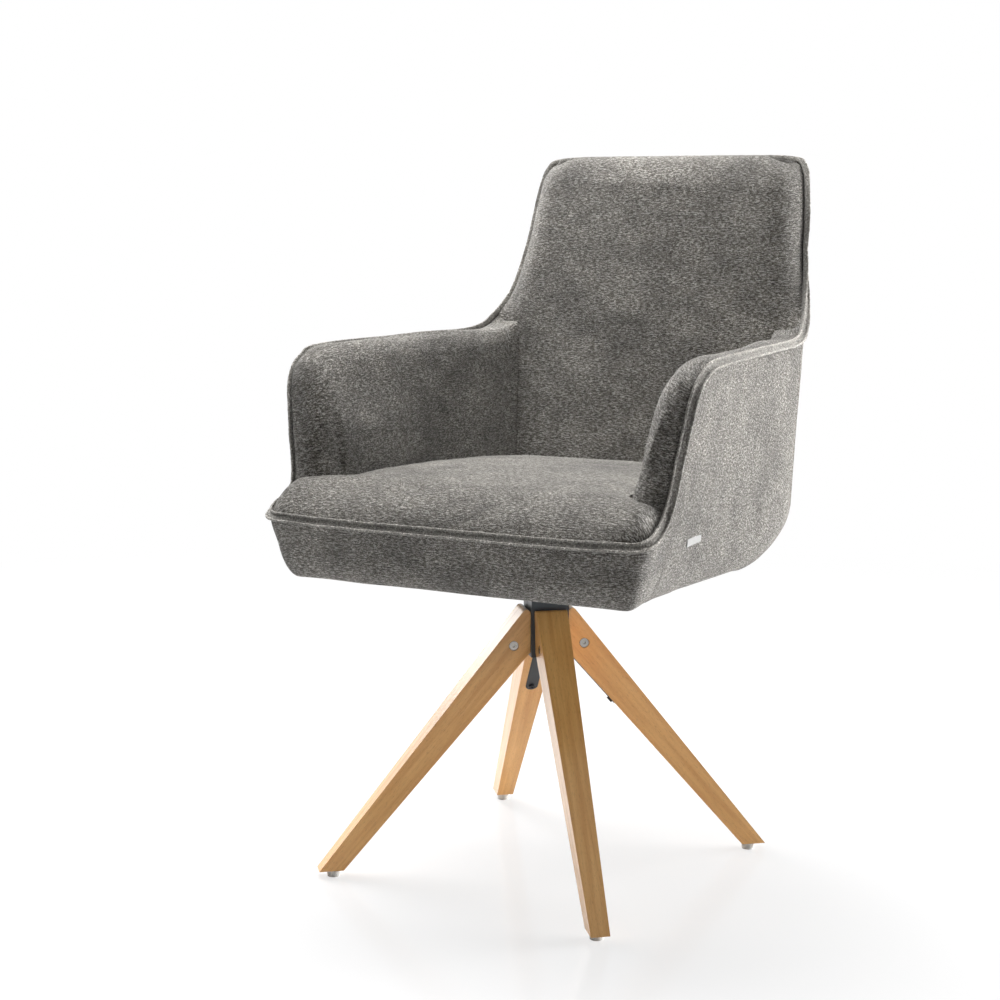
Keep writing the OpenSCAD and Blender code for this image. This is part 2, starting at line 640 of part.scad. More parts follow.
// The seat cushion widens in front of the arms, where it reaches the welt at both corners
cushion_rear_y = face_y(cushion_low_z) - 9;
cushion_tuck = 5;
cushion_in = 11;
ear_y = foot_y - 12;
function seat_half_at(y) =
    let (corner = clamp((-seat_front + seat_corner_r - y) / seat_corner_r),
        ear = seat_half - cushion_in + 1 - seat_corner_r * (1 - sqrt(1 - corner * corner)),
        between = arm_x(y, cushion_low_z) - arm_thick(y) - 3,
        s = smooth((y - ear_y + 14) / 16))
    ear * (1 - s) + between * s;
function seat_top(x, y) =
    let (half = seat_half_at(y),
        front_d = y + seat_front - cushion_in + 1.5,
        side_d = half - abs(x),
        ear_on = 1 - smooth((y - ear_y + 30) / 40),
        fall = seat_crown_z - seat_welt_z - 2,
        long = swell(front_d, seat_roll),
        wide = ear_on * swell(side_d, seat_roll * 0.8) + (1 - ear_on) * (0.86 + 0.14 * swell(side_d, 60)),
        slope = seat_rear_drop * pow(clamp((y + 120) / (cushion_rear_y + 120)), 1.6))
    seat_welt_z + 2 + fall * long * wide - slope;
module seat_cushion() color("dimgray") {
    rows = 22;
    cols = 20;
    loft([for (i = [0:rows])
        let (f = pow(i / rows, 1.35), y0 = cushion_in - seat_front,
            y = y0 + (cushion_rear_y - y0) * f, half = seat_half_at(y))
        [for (j = [0:cols]) let (c = -cos(180 * j / cols), x = half * c) [x, y, seat_top(x, y)],
         [half - cushion_tuck, y, cushion_low_z], [-half + cushion_tuck, y, cushion_low_z]]]);
}

// Arms: the plywood inside, the padding that rolls over it from within, and the outer cover
frame_drop = 34;
frame_low_z = board_low_z + 42;
skin_depth = cover_t + cloth_gap;
frame_depth = skin_depth + frame_t;
arm_ease = 0.2;
module arm_frame() skin_panel(ST_FOOT + 1.3, ST_ARM_REAR - 0.2, 14, 4, frame_drop, frame_low_z,
    skin_depth + arm_ease, frame_depth + arm_ease);
module arm_frame_left() color("tan") arm_frame();
module arm_frame_right() color("tan") mirror([1, 0, 0]) arm_frame();
// Station of the back frame's side edge at a height: above the arms it draws in from the rim
back_ease = 0.8;
ST_BACK_LOW = 13.7;
ST_BACK_HIGH = 15.4;
edge_drop = 58;
edge_run = 64;
function frame_from(z) = ST_BACK_LOW
    + (ST_BACK_HIGH - ST_BACK_LOW) * smooth((z - arm_top_z + edge_drop) / edge_run);
module back_frame_sheet() {
    cols = 18;
    rows = 12;
    top = back_top_z - frame_drop;
    heights = [for (k = [0:rows]) top + (frame_low_z - top) * k / rows];
    function grid(depth) = [for (i = [0:cols]) [for (z = heights)
        let (u0 = frame_from(z)) under_skin(u0 + 2 * (RIM_END - u0) * i / cols, z, depth)]];
    sheet(grid(skin_depth + back_ease), grid(frame_depth + back_ease));
}
module back_frame() color("tan") back_frame_sheet();

arm_roll = 44;
arm_bulge = 11;
arm_nose = 14;
arm_rise = 13;
rear_inset = 8;
inset_run = 60;
// How far the inset also moves the pad's rear edge forwards
inset_forward = 2.2;
arm_pad_low_z = cushion_low_z;
arm_nose_y = foot_y - arm_nose;
// Height of the arm's top line at a place along the arm: it climbs steeply, then levels off
arm_reach = 112;
arm_steep = 3.2;
arm_level = 0.62;
arm_start = 0.1;
function arm_line(y) =
    let (low = seat_welt_z + rise * arm_start, tall = arm_top_z - low)
    low + tall * pow(1 - pow(1 - clamp((y - arm_nose_y) / arm_reach), arm_steep), arm_level);
module arm_pad() {
    slices = 24;
    rear_low = face_y(arm_pad_low_z) - soft_gap;
    loft([for (i = [0:slices])
        let (f = i / slices, y = arm_nose_y + 2 + (rear_low - arm_nose_y - 2) * pow(f, 1.5),
            lean = back_face_lean * smooth((y - 60) / (rear_low - 60)),
            back_y = y + lean * (arm_top_z - arm_pad_low_z),
            top = arm_line(y) + arm_rise * pow(clamp((back_y - arm_rear_y + 20) / 60), 1.6),
            near = swell(y - arm_nose_y, arm_roll),
            thick = arm_thick(y) * (0.45 + 0.55 * near),
            roll = (arm_t + 5) * (0.45 + 0.55 * near),
            low = min(arm_pad_low_z, top - 30),
            tall = top - low,
            out = frame_depth + pad_gap,
            inset = rear_inset * smooth((back_y - arm_rear_y + inset_run) / 100),
            wide = roll - skin_depth - 2,
            // depth from the outer skin, and height, round the slice
            profile = [
                [out, low], [out, max(low + 4, top - frame_drop + 7)],
                [skin_depth + 2, max(low + 8, top - frame_drop + 13)], [skin_depth + 2, top - 8],
                [skin_depth + 2 + wide * 0.08, top + arm_bulge * 0.1],
                [skin_depth + 2 + wide * 0.3, top + arm_bulge * 0.85],
                [skin_depth + 2 + wide * 0.52, top + arm_bulge],
                [skin_depth + 2 + wide * 0.76, top + arm_bulge * 0.35],
                [skin_depth + 2 + wide * 0.92, top - 10],
                [(roll + thick) / 2, top - min(28, 0.4 * tall)],
                [thick + 1, low + 0.5 * tall],
                [thick - 1, low + min(12, 0.3 * tall)],
                [thick - 4, low]])
        [for (k = [len(profile) - 1:-1:0]) let (q = profile[k])
            k < 5 ? [outer_x(y, q[1]) - q[0] - inset, y + lean * (q[1] - low) - inset_forward * inset, q[1]]
                : [arm_x(y, q[1]) - q[0], y + lean * (q[1] - low), q[1]]]]);
}
module arm_pad_left() color("dimgray") arm_pad();
module arm_pad_right() color("dimgray") mirror([1, 0, 0]) arm_pad();

// Back: padding crowned forwards, with its edges rolled back to the welt
back_crown = 9;
back_roll = 38;
back_edge_t = 6;
EDGE_TABLE = [for (i = [10:16]) [RIM[i][2], i]];
// Station of the padding's side edge at a height
ST_PAD_LOW = 12;
function pad_from(z) = max(ST_PAD_LOW, lookup(z + 7, EDGE_TABLE));
function pad_rear(z) =
    let (u0 = pad_from(z), u1 = max(u0 + pad_step, frame_from(z - 12) - pad_clear),
        depth = u1 > u0 + pad_step ? skin_depth + 1 : frame_depth + pad_gap,
        u2 = u1 + pad_step)
    [for (k = [0:pad_lap]) level_under(u0 + (u1 - u0) * k / pad_lap, z, depth),
     for (k = [0:pad_cols]) level_under(u2 + (RIM_END - u2) * k / pad_cols, z,
        frame_depth + back_ease + pad_gap)];
pad_step = 0.12;
pad_clear = 0.21;
pad_lap = 2;
pad_cols = 5;
module back_pad() color("dimgray") {
    rows = 24;
    cols = 16;
    low = cushion_low_z + 6;
    high = back_top_z - 5;
    loft([for (i = [0:rows])
        let (f = i / rows, z = low + (high - low) * (1 - pow(1 - f, 1.5)), rear = pad_rear(z),
            half = rear[0][0], rolled = smooth((z - arm_top_z + 10) / 50))
        [for (j = [0:cols])
            let (c = -cos(180 * j / cols), x = half * c,
                side = 1 - rolled + rolled * swell(half - abs(x), back_roll),
                behind = rear[0][1] + (rear[len(rear) - 1][1] - rear[0][1]) * (1 - c * c) - back_edge_t,
                seam = min(1, abs(x) / inner_half(z)),
                face = face_y(z) - back_crown * (1 - seam * seam),
                k = side * swell(back_top_z - z, back_roll))
            [x, min(behind, behind + (face - behind) * k), z],
         for (k = [0:len(rear) - 1]) rear[k],
         for (k = [len(rear) - 2:-1:0]) flip(rear[k])]]);
}

// Outer cover, in four parts that meet at sewn seams
cover_drop = 3.5;
// Rows of the cover down to its rounded foot, and round it
COVER_ROWS = [6, 5];
module front_apron() color("dimgray")
    skin_sheet(-ST_APRON, ST_APRON, 14, COVER_ROWS[0], COVER_ROWS[1], cover_drop, 0, cover_t);
module outer_arm() skin_sheet(ST_APRON + 0.02, ST_ARM_REAR, 20, COVER_ROWS[0], COVER_ROWS[1],
    cover_drop, 0, cover_t);
module outer_arm_left() color("dimgray") outer_arm();
module outer_arm_right() color("dimgray") mirror([1, 0, 0]) outer_arm();
module outer_back() color("dimgray")
    skin_sheet(ST_ARM_REAR + 0.03, 2 * RIM_END - ST_ARM_REAR - 0.03, 24, COVER_ROWS[0], COVER_ROWS[1],
        cover_drop, 0, cover_t);

underside_t = 2;
// Size of the underside cloth against the foot of the cover that it is sewn to
underside_share = 0.979;
hole_gap = 2;
UNDERSIDE_STATIONS = [1.5, 3.3, 4, 5.5, 7, 8, 8.6, 9.2, 12, 14];
module underside_sheet() {
    function row(u, lift) = let (z = low_z(u) + lift, p = skin(u, low_z(u)))
        [for (x = [1, 0.5, 0, -0.5, -1]) [p[0] * underside_share * x, p[1] * underside_share, z]];
    sheet([for (u = UNDERSIDE_STATIONS) row(u, 0)], [for (u = UNDERSIDE_STATIONS) row(u, underside_t)]);
}
module underside_cover() color("black") difference() {
    underside_sheet();
    translate([-plate_w / 2 - hole_gap, -plate_w / 2 - hole_gap, shell_low_z - 1])
        cube([plate_w + 2 * hole_gap, plate_w + 2 * hole_gap, underside_t + front_lift + 2]);
}

// Welt: two beads side by side, swept along the rim
WELT_SIDES = 6;
function welt_ring(u) =
    let (p = rim(u), along = unit(rim(u + 0.03) - rim(u - 0.03)),
        out = skin_normal(u, p[2] - 4),
        away = unit(cross(out, along)),
        face = unit(out + away),
        wide = unit(out - away))
    [for (k = [0:WELT_SIDES - 1]) let (a = -360 * k / WELT_SIDES)
        p + face * (welt_t / 2 * (1 + sin(a)) + soft_gap) + wide * (welt_w / 2 * cos(a) - 0.5)];
module welt(u0, u1, rings) loft([for (i = [0:rings]) welt_ring(u0 + (u1 - u0) * i / rings)]);
module seat_welt() color("gray") welt(-ST_FOOT, ST_FOOT, 28);
module arm_and_back_welt() color("gray") welt(ST_FOOT + 0.02, 2 * RIM_END - ST_FOOT - 0.02, 76);

// A small blank cloth tag, caught in the outer cover near the arm's foot
tag_y = -104;
tag_z = 447;
tag_t = 0.8;
tag_gap = 0.9;
RIM_YS = [for (i = [4:10]) [RIM[i][1], i]];
TAG_STATIONS = [for (k = [0:2]) lookup(tag_y + tag_w * k / 2, RIM_YS)];
function tag_grid(lift) = [for (u = TAG_STATIONS) [for (z = [tag_z + tag_h, tag_z])
    under_skin(u, z, -lift)]];
module side_tag() color("lightgray") sheet(tag_grid(tag_t + tag_gap), tag_grid(tag_gap));

leg_front_left();
leg_rear_left();
leg_rear_right();
leg_front_right();
foot_glides();
hub();
leg_bolts();
sleeve_nuts();
leg_straps();
strap_screws();
lower_bush();
upper_bush();
lower_race();
ball_cage();
bearing_balls();
upper_race();
spindle();
end_washer();
retaining_ring();
mounting_plate();
plate_screws();
tee_nuts();
seat_board();
base_foam();
seat_cushion();
front_rail();
side_rails();
arm_frame_left();
arm_frame_right();
back_frame();
arm_pad_left();
arm_pad_right();
back_pad();
front_apron();
outer_arm_left();
outer_arm_right();
outer_back();
underside_cover();
seat_welt();
arm_and_back_welt();
side_tag();
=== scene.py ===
"""Looks of the swivel armchair: cloth, double welts, pads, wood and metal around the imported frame."""

import logging
import math
from dataclasses import dataclass
from enum import Enum
from typing import Optional, Sequence, Union

import bpy
import numpy as np
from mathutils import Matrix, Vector, noise


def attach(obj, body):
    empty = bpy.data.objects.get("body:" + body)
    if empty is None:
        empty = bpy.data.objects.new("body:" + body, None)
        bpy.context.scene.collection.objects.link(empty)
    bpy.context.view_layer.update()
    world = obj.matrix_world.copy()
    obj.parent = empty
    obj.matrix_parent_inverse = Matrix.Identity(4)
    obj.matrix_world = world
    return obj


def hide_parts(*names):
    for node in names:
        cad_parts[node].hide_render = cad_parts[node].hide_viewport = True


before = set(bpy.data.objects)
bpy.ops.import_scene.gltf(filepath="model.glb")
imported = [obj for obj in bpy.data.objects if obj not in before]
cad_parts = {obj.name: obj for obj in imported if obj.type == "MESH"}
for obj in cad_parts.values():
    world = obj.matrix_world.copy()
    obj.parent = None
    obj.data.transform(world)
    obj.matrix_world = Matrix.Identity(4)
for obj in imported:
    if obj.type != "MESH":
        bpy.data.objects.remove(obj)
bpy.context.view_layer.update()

LOG = logging.getLogger("armchair")
MM = 0.001
SEAT_BODY = "seat_unit"
MIRROR = (-1, 1, 1)
Colour = tuple[float, float, float]
Array = np.ndarray
Piece = bpy.types.Object
Material = bpy.types.Material
Socket = bpy.types.NodeSocket
Wire = Union[float, tuple, Socket]


class Slot(Enum):
    """The record's material slots that the soft pieces use."""

    UPHOLSTERY = "upholstery"
    WELT = "welt_cloth"
    TAG = "tag_cloth"
    UNDERSIDE = "underside_cloth"
    FOAM = "foam"


def clamp(value: Array) -> Array:
    """Value held between 0 and 1."""
    return np.clip(value, 0.0, 1.0)


def smooth(value: Array) -> Array:
    """Smooth step of a value from 0 to 1."""
    held = clamp(value)
    return held * held * (3 - 2 * held)


def swell(distance: Array, reach: float) -> Array:
    """Height, from 0 to 1, of a quarter-round roll at a distance from its edge."""
    k = 1 - clamp(distance / reach)
    return np.sqrt(1 - k * k)


def unit(vectors: Array) -> Array:
    """Vectors scaled to length 1."""
    return vectors / np.maximum(np.linalg.norm(vectors, axis=-1, keepdims=True), 1e-12)


def cubic(a: Array, b: Array, c: Array, d: Array, t: Array) -> Array:
    """Point at a share t of the way from b to c, on the smooth curve through four knots."""
    return 0.5 * (2 * b + (c - a) * t + (2 * a - 5 * b + 4 * c - d) * t ** 2
                  + (3 * b - a - 3 * c + d) * t ** 3)


def put(target: object, **values: object) -> None:
    """Sets several attributes of one thing."""
    for key, value in values.items():
        setattr(target, key, value)


def from_srgb(red: int, green: int, blue: int) -> Colour:
    """Linear colour of an 8-bit screen colour.

    Args:
        red: Red, 0 to 255.
        green: Green, 0 to 255.
        blue: Blue, 0 to 255.

    Returns:
        The linear red, green and blue.
    """
    return tuple(
        c / 12.92 if c <= 0.04045 else ((c + 0.055) / 1.055) ** 2.4
        for c in (red / 255, green / 255, blue / 255)
    )


# The shape of the shell


@dataclass(frozen=True)
class Shell:
    """The rim line that the welt follows and the skin that hangs from it, in millimetres.

    A station is a place along the rim: 0 in the middle of the seat's front, and one more at each
    knot, up to the middle of the back's top. Stations below 0 lie on the sitter's right.
    """

    seat_w: float = 490.0
    seat_front: float = 268.0
    welt_z: float = 468.0
    corner_r: float = 38.0
    low: float = 386.0
    front_lift: float = 11.0
    front_lean: float = 0.26
    front_tuck: float = 16.0
    front_round: float = 30.0
    foot_set: float = 72.0
    arm_front_w: float = 539.0
    arm_rear_w: float = 476.0
    arm_rear_y: float = 250.0
    arm_run: float = 400.0
    arm_top: float = 660.0
    arm_lean: float = 0.165
    arm_t: float = 39.0
    arm_swell: float = 18.0
    side_tuck: float = 19.0
    side_round: float = 46.0
    back_top: float = 898.0
    back_w: float = 384.0
    back_y: float = 402.0
    back_lean: float = 0.325
    back_bulge: float = 20.0
    back_round: float = 21.0
    face_y0: float = 240.0
    face_z0: float = 488.0
    face_lean: float = 0.28
    rear_seam: float = 10.3
    end: int = 18

    @property
    def foot_y(self) -> float:
        """Y of the place where an arm meets the seat's front corner."""
        return -(self.seat_front - self.foot_set)

    def arm_x(self, y: Array, z: Array) -> Array:
        """Half-width over the arms at a place along them and a height."""
        wide = self.arm_rear_w + (self.arm_front_w - self.arm_rear_w) * (self.arm_rear_y - y) / self.arm_run
        return wide / 2 - self.arm_lean * (self.arm_top - z)

    def lean_at(self, y: Array) -> Array:
        """Outward lean of the outer side of the arm, which stands up straighter at the rear."""
        return self.arm_lean * (1 - 0.85 * smooth((y + 100) / 350))

    def arm_thick(self, y: Array) -> Array:
        """Thickness of the arm with its padding."""
        return self.arm_t + self.arm_swell * (1 - smooth((y + 150) / 300))

    def face_y(self, z: Array) -> Array:
        """Y of the front of the back's padding at a height."""
        return self.face_y0 + self.face_lean * (z - self.face_z0)

    def knots(self) -> Array:
        """Points of the rim for the sitter's left half, from the front's middle to the top's.

        Returns:
            An array of points, one row each.
        """
        half, top = self.seat_w / 2, self.back_w / 2
        rise, over = self.arm_top - self.welt_z, self.back_top - self.arm_top

        def arm(y: float, z: float) -> list[float]:
            """Point of the arm's rim."""
            return [float(self.arm_x(y, z)), y, z]

        return np.array([
            [0, -self.seat_front, self.welt_z],
            [half / 2, -self.seat_front, self.welt_z],
            [half - self.corner_r, -self.seat_front + 3, self.welt_z + 1],
            [half + 1, -self.seat_front + 20, self.welt_z + rise * 0.02],
            arm(self.foot_y, self.welt_z + rise * 0.17),
            arm(self.foot_y + 14, self.welt_z + rise * 0.53),
            arm(self.foot_y + 26, self.welt_z + rise * 0.82),
            arm(self.foot_y + 50, self.arm_top - 11),
            arm(self.foot_y + 99, self.arm_top - 0.5),
            arm(120, self.arm_top),
            arm(245, self.arm_top + 2),
            [top + 38, self.back_y - 106, self.arm_top + over * 0.09],
            [top + 25, self.back_y - 68, self.arm_top + over * 0.25],
            [top + 14, self.back_y - 44, self.arm_top + over * 0.49],
            [top + 7, self.back_y - 23, self.arm_top + over * 0.78],
            [top - 1, self.back_y - 10, self.back_top - 13],
            [top - 20, self.back_y - 4, self.back_top - 2],
            [top / 2, self.back_y - 1, self.back_top],
            [0, self.back_y, self.back_top],
        ], float)

    def fold(self, station: Array) -> tuple[Array, Array]:
        """Brings stations to the sitter's left half.

        Args:
            station: Stations along the whole rim.

        Returns:
            The stations on that half, and the side that each was on, 1 or -1.
        """
        s = np.asarray(station, float)
        w = np.abs(s)
        side = np.where((s < 0) ^ (w > self.end), -1.0, 1.0)
        return np.where(w > self.end, 2 * self.end - w, w), side

    def rim(self, station: Array) -> Array:
        """Points of the rim at stations; those past either end lie on the other half.

        Args:
            station: Stations along the rim.

        Returns:
            An array of points with one more axis than the stations.
        """
        w, side = self.fold(station)
        k = self.knots()
        k = np.vstack([k[1] * MIRROR, k, k[-2] * MIRROR])
        i = np.minimum(np.floor(w), self.end - 1).astype(int)
        p = cubic(*(k[i + m] for m in range(4)), (w - i)[..., None])
        p[..., 0] *= side
        return p

    def measured(self, first: float, last: float, count: int) -> tuple[Array, Array]:
        """Measures the rim between two stations.

        Args:
            first: First station.
            last: Last station.
            count: Number of stations wanted.

        Returns:
            The stations, and the rim's length up to each.
        """
        fine = np.linspace(first, last, count)
        steps = np.linalg.norm(np.diff(self.rim(fine), axis=0), axis=1)
        return fine, np.concatenate([[0], np.cumsum(steps)])

    @staticmethod
    def front_share(w: Array) -> Array:
        """How much a station of the left half belongs to the front, from 0 to 1."""
        return 1 - smooth((w - 1.6) / 2.2)

    @staticmethod
    def rear_share(w: Array) -> Array:
        """How much a station of the left half belongs to the back, from 0 to 1."""
        return smooth((w - 9) / 3.3)

    def low_z(self, w: Array) -> Array:
        """Height of the skin's foot."""
        y = self.rim(w)[..., 1]
        return self.low + self.front_lift * (1 - smooth((y + self.seat_front) / 300))

    def rear_tuck(self, w: Array) -> Array:
        """How far the rear of the skin is drawn forwards at its foot.

        Args:
            w: Stations of the left half.

        Returns:
            Distances, one for each station.
        """
        p = self.rim(w)
        past = p[..., 1] - self.back_lean * self.rear_share(w) * (p[..., 2] - self.low) - 94
        return np.maximum(0, past - 8 * smooth(past / 120) - 8 * smooth((w - 9) / 6))

    def round_h(self, w: Array) -> Array:
        """Height of the skin's rounding at its foot.

        Args:
            w: Stations of the left half.

        Returns:
            Heights, one for each station.
        """
        f = self.front_share(w)
        side = self.side_round + self.back_round * clamp(self.rear_tuck(w) / 100)
        return self.front_round * f + (1 - f) * side

    def skin(self, station: Array, z: Array) -> Array:
        """Points of the outer skin at stations and heights.

        Args:
            station: Stations along the rim.
            z: Heights, of a shape that fits the stations'.

        Returns:
            An array of points.
        """
        w, side = self.fold(station)
        w, side, z = np.broadcast_arrays(w, side, z)
        p = self.rim(w)
        f, r = self.front_share(w), self.rear_share(w)
        s, drop = 1 - f - r, p[..., 2] - z
        h = self.round_h(w)
        e = 1 - np.sqrt(1 - clamp((self.low_z(w) + h - z) / h) ** 2)
        bulge = (self.back_bulge * r * (1 - (p[..., 0] / (self.back_w / 2 + 45)) ** 2)
                 * np.sin(math.pi * clamp((z - self.low) / (p[..., 2] - self.low))))
        x = (p[..., 0] - self.lean_at(p[..., 1]) * s * drop - self.side_tuck * s * e
             - self.corner_r * 0.15 * f * e * p[..., 0] / (self.seat_w / 2)
             + p[..., 0] * r * (0.03 * drop / (self.back_top - self.low) - 0.13 * e))
        y = (p[..., 1] + self.front_lean * f * drop - self.back_lean * r * drop
             + self.front_tuck * f * e - self.rear_tuck(w) * e + bulge)
        return np.stack([x * side, y, z], axis=-1)

    def normal(self, station: Array, z: Array) -> Array:
        """Outward normals of the skin.

        Args:
            station: Stations along the rim.
            z: Heights.

        Returns:
            Vectors of length 1.
        """
        along = self.skin(station + 0.02, z) - self.skin(station - 0.02, z)
        up = self.skin(station, z + 0.5) - self.skin(station, z - 0.5)
        return unit(np.cross(along, up))

    def under(self, station: Array, z: Array, depth: Array) -> Array:
        """Points under the skin.

        Args:
            station: Stations along the rim.
            z: Heights.
            depth: How far each point lies inwards.

        Returns:
            An array of points.
        """
        w, _ = self.fold(station)
        held = np.maximum(z, self.low_z(w) + 1.5)
        return self.skin(station, z) - np.asarray(depth)[..., None] * self.normal(station, held)


# Meshes


def ripple(points: Array, size: float, seed: float) -> Array:
    """Slow random wave over points, from about -1 to 1.

    Args:
        points: Points in millimetres.
        size: Distance between the wave's hills, in millimetres.
        seed: Shift that makes one wave differ from another.

    Returns:
        One number for each point.
    """
    flat = points.reshape(-1, 3) / size + seed
    values = [noise.noise(Vector(p)) for p in flat]
    return np.array(values).reshape(points.shape[:-1])


def waves(points: Array, *parts: tuple[float, float, float]) -> Array:
    """Sum of random waves over points, each given by its height, size and seed."""
    return sum(height * ripple(points, size, seed) for height, size, seed in parts)


def running(points: Array, axis: int) -> Array:
    """Length along the rows or columns of a grid of points.

    Args:
        points: Points, shaped (rows, columns, 3), in millimetres.
        axis: 0 to go from row to row, 1 from column to column.

    Returns:
        The length up to each point, in metres.
    """
    steps = np.linalg.norm(np.diff(points, axis=axis), axis=-1)
    pad = [(0, 0), (0, 0)]
    pad[axis] = (1, 0)
    return np.cumsum(np.pad(steps, pad), axis=axis) * MM


def along_column(grid: Array, column: int) -> Array:
    """Length along one column of a grid, given to every point of its row, in metres."""
    return running(grid, 0)[:, column][:, None] * np.ones(grid.shape[:2])


def grid_faces(rows: int, cols: int, wraps: bool) -> list[list[int]]:
    """Four-sided faces of a grid of points.

    Args:
        rows: Number of rows.
        cols: Number of columns.
        wraps: Whether the last column joins the first.

    Returns:
        Lists of four point numbers.
    """
    return [
        [i * cols + j, (i + 1) * cols + j, (i + 1) * cols + (j + 1) % cols, i * cols + (j + 1) % cols]
        for i in range(rows - 1) for j in range(cols if wraps else cols - 1)
    ]


def new_object(name: str, data: bpy.types.ID) -> Piece:
    """Makes an object and puts it into the scene.

    Args:
        name: Name of the object.
        data: What it is made of.

    Returns:
        The new object.
    """
    made = bpy.data.objects.new(name, data)
    bpy.context.scene.collection.objects.link(made)
    return made


def new_mesh(name: str, points: Array, faces: list, cloth: Array) -> Piece:
    """Makes an object with smooth faces and the place of each point on its cloth.

    Args:
        name: Name of the piece.
        points: Points in millimetres, one row each.
        faces: Lists of point numbers.
        cloth: Place on the cloth for each point, in metres.

    Returns:
        The new object.
    """
    mesh = bpy.data.meshes.new(name)
    mesh.from_pydata((points * MM).tolist(), [], faces)
    mesh.polygons.foreach_set("use_smooth", [True] * len(mesh.polygons))
    layer = mesh.attributes.new("cloth", "FLOAT_VECTOR", "POINT")
    layer.data.foreach_set("vector", cloth.astype(np.float32).ravel())
    mesh.update()
    return new_object(name, mesh)


def tube_mesh(name: str, loops: Array, cloth: Array) -> Piece:
    """Makes a closed piece from a row of loops.

    Args:
        name: Name of the piece.
        loops: Points, shaped (loops, points of a loop, 3), in millimetres.
        cloth: Places on the cloth, of the same shape.

    Returns:
        The new object.
    """
    count, size = loops.shape[:2]
    faces = grid_faces(count, size, True)
    points, places = loops.reshape(-1, 3), cloth.reshape(-1, 3)
    for end, turn in ((0, False), (count - 1, True)):
        hub = len(points)
        points = np.vstack([points, loops[end].mean(axis=0)])
        places = np.vstack([places, cloth[end].mean(axis=0)])
        for j in range(size):
            a, b = end * size + j, end * size + (j + 1) % size
            faces.append([hub, b, a] if turn else [hub, a, b])
    return new_mesh(name, points, faces, places)


def sheet_mesh(name: str, grid: Array, cloth: Array) -> Piece:
    """Makes an open sheet from a grid of points in millimetres and their places on the cloth."""
    return new_mesh(name, grid.reshape(-1, 3), grid_faces(*grid.shape[:2], False), cloth.reshape(-1, 3))


def catmull(knots: Array, count: int) -> Array:
    """Smooth open curve through knots.

    Args:
        knots: Points, shaped (..., knots, 3).
        count: Number of points wanted.

    Returns:
        Points, shaped (..., count, 3).
    """
    n = knots.shape[-2]
    first = 2 * knots[..., :1, :] - knots[..., 1:2, :]
    last = 2 * knots[..., -1:, :] - knots[..., -2:-1, :]
    k = np.concatenate([first, knots, last], axis=-2)
    s = np.linspace(0, n - 1, count)
    i = np.minimum(s.astype(int), n - 2)
    return cubic(*(k[..., i + m, :] for m in range(4)), (s - i)[:, None])


def dress(piece: Piece, material: Material,
          nodes: Sequence[str]) -> Piece:
    """Gives a new piece of the seat unit its material and body, and hides the nodes that it replaces.

    Args:
        piece: The new piece.
        material: Its material.
        nodes: Names of the nodes that it replaces.

    Returns:
        The same piece.
    """
    piece.data.materials.append(material)
    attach(piece, SEAT_BODY)
    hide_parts(*nodes)
    LOG.info("%s: %d points", piece.name, len(piece.data.vertices))
    return piece


def add_modifier(piece: Piece, kind: str, **settings: object) -> bpy.types.Modifier:
    """Adds a modifier to a piece.

    Args:
        piece: The piece.
        kind: The modifier's type.
        settings: Its settings.

    Returns:
        The new modifier.
    """
    modifier = piece.modifiers.new(kind.title(), kind)
    put(modifier, **settings)
    return modifier


# Finishes


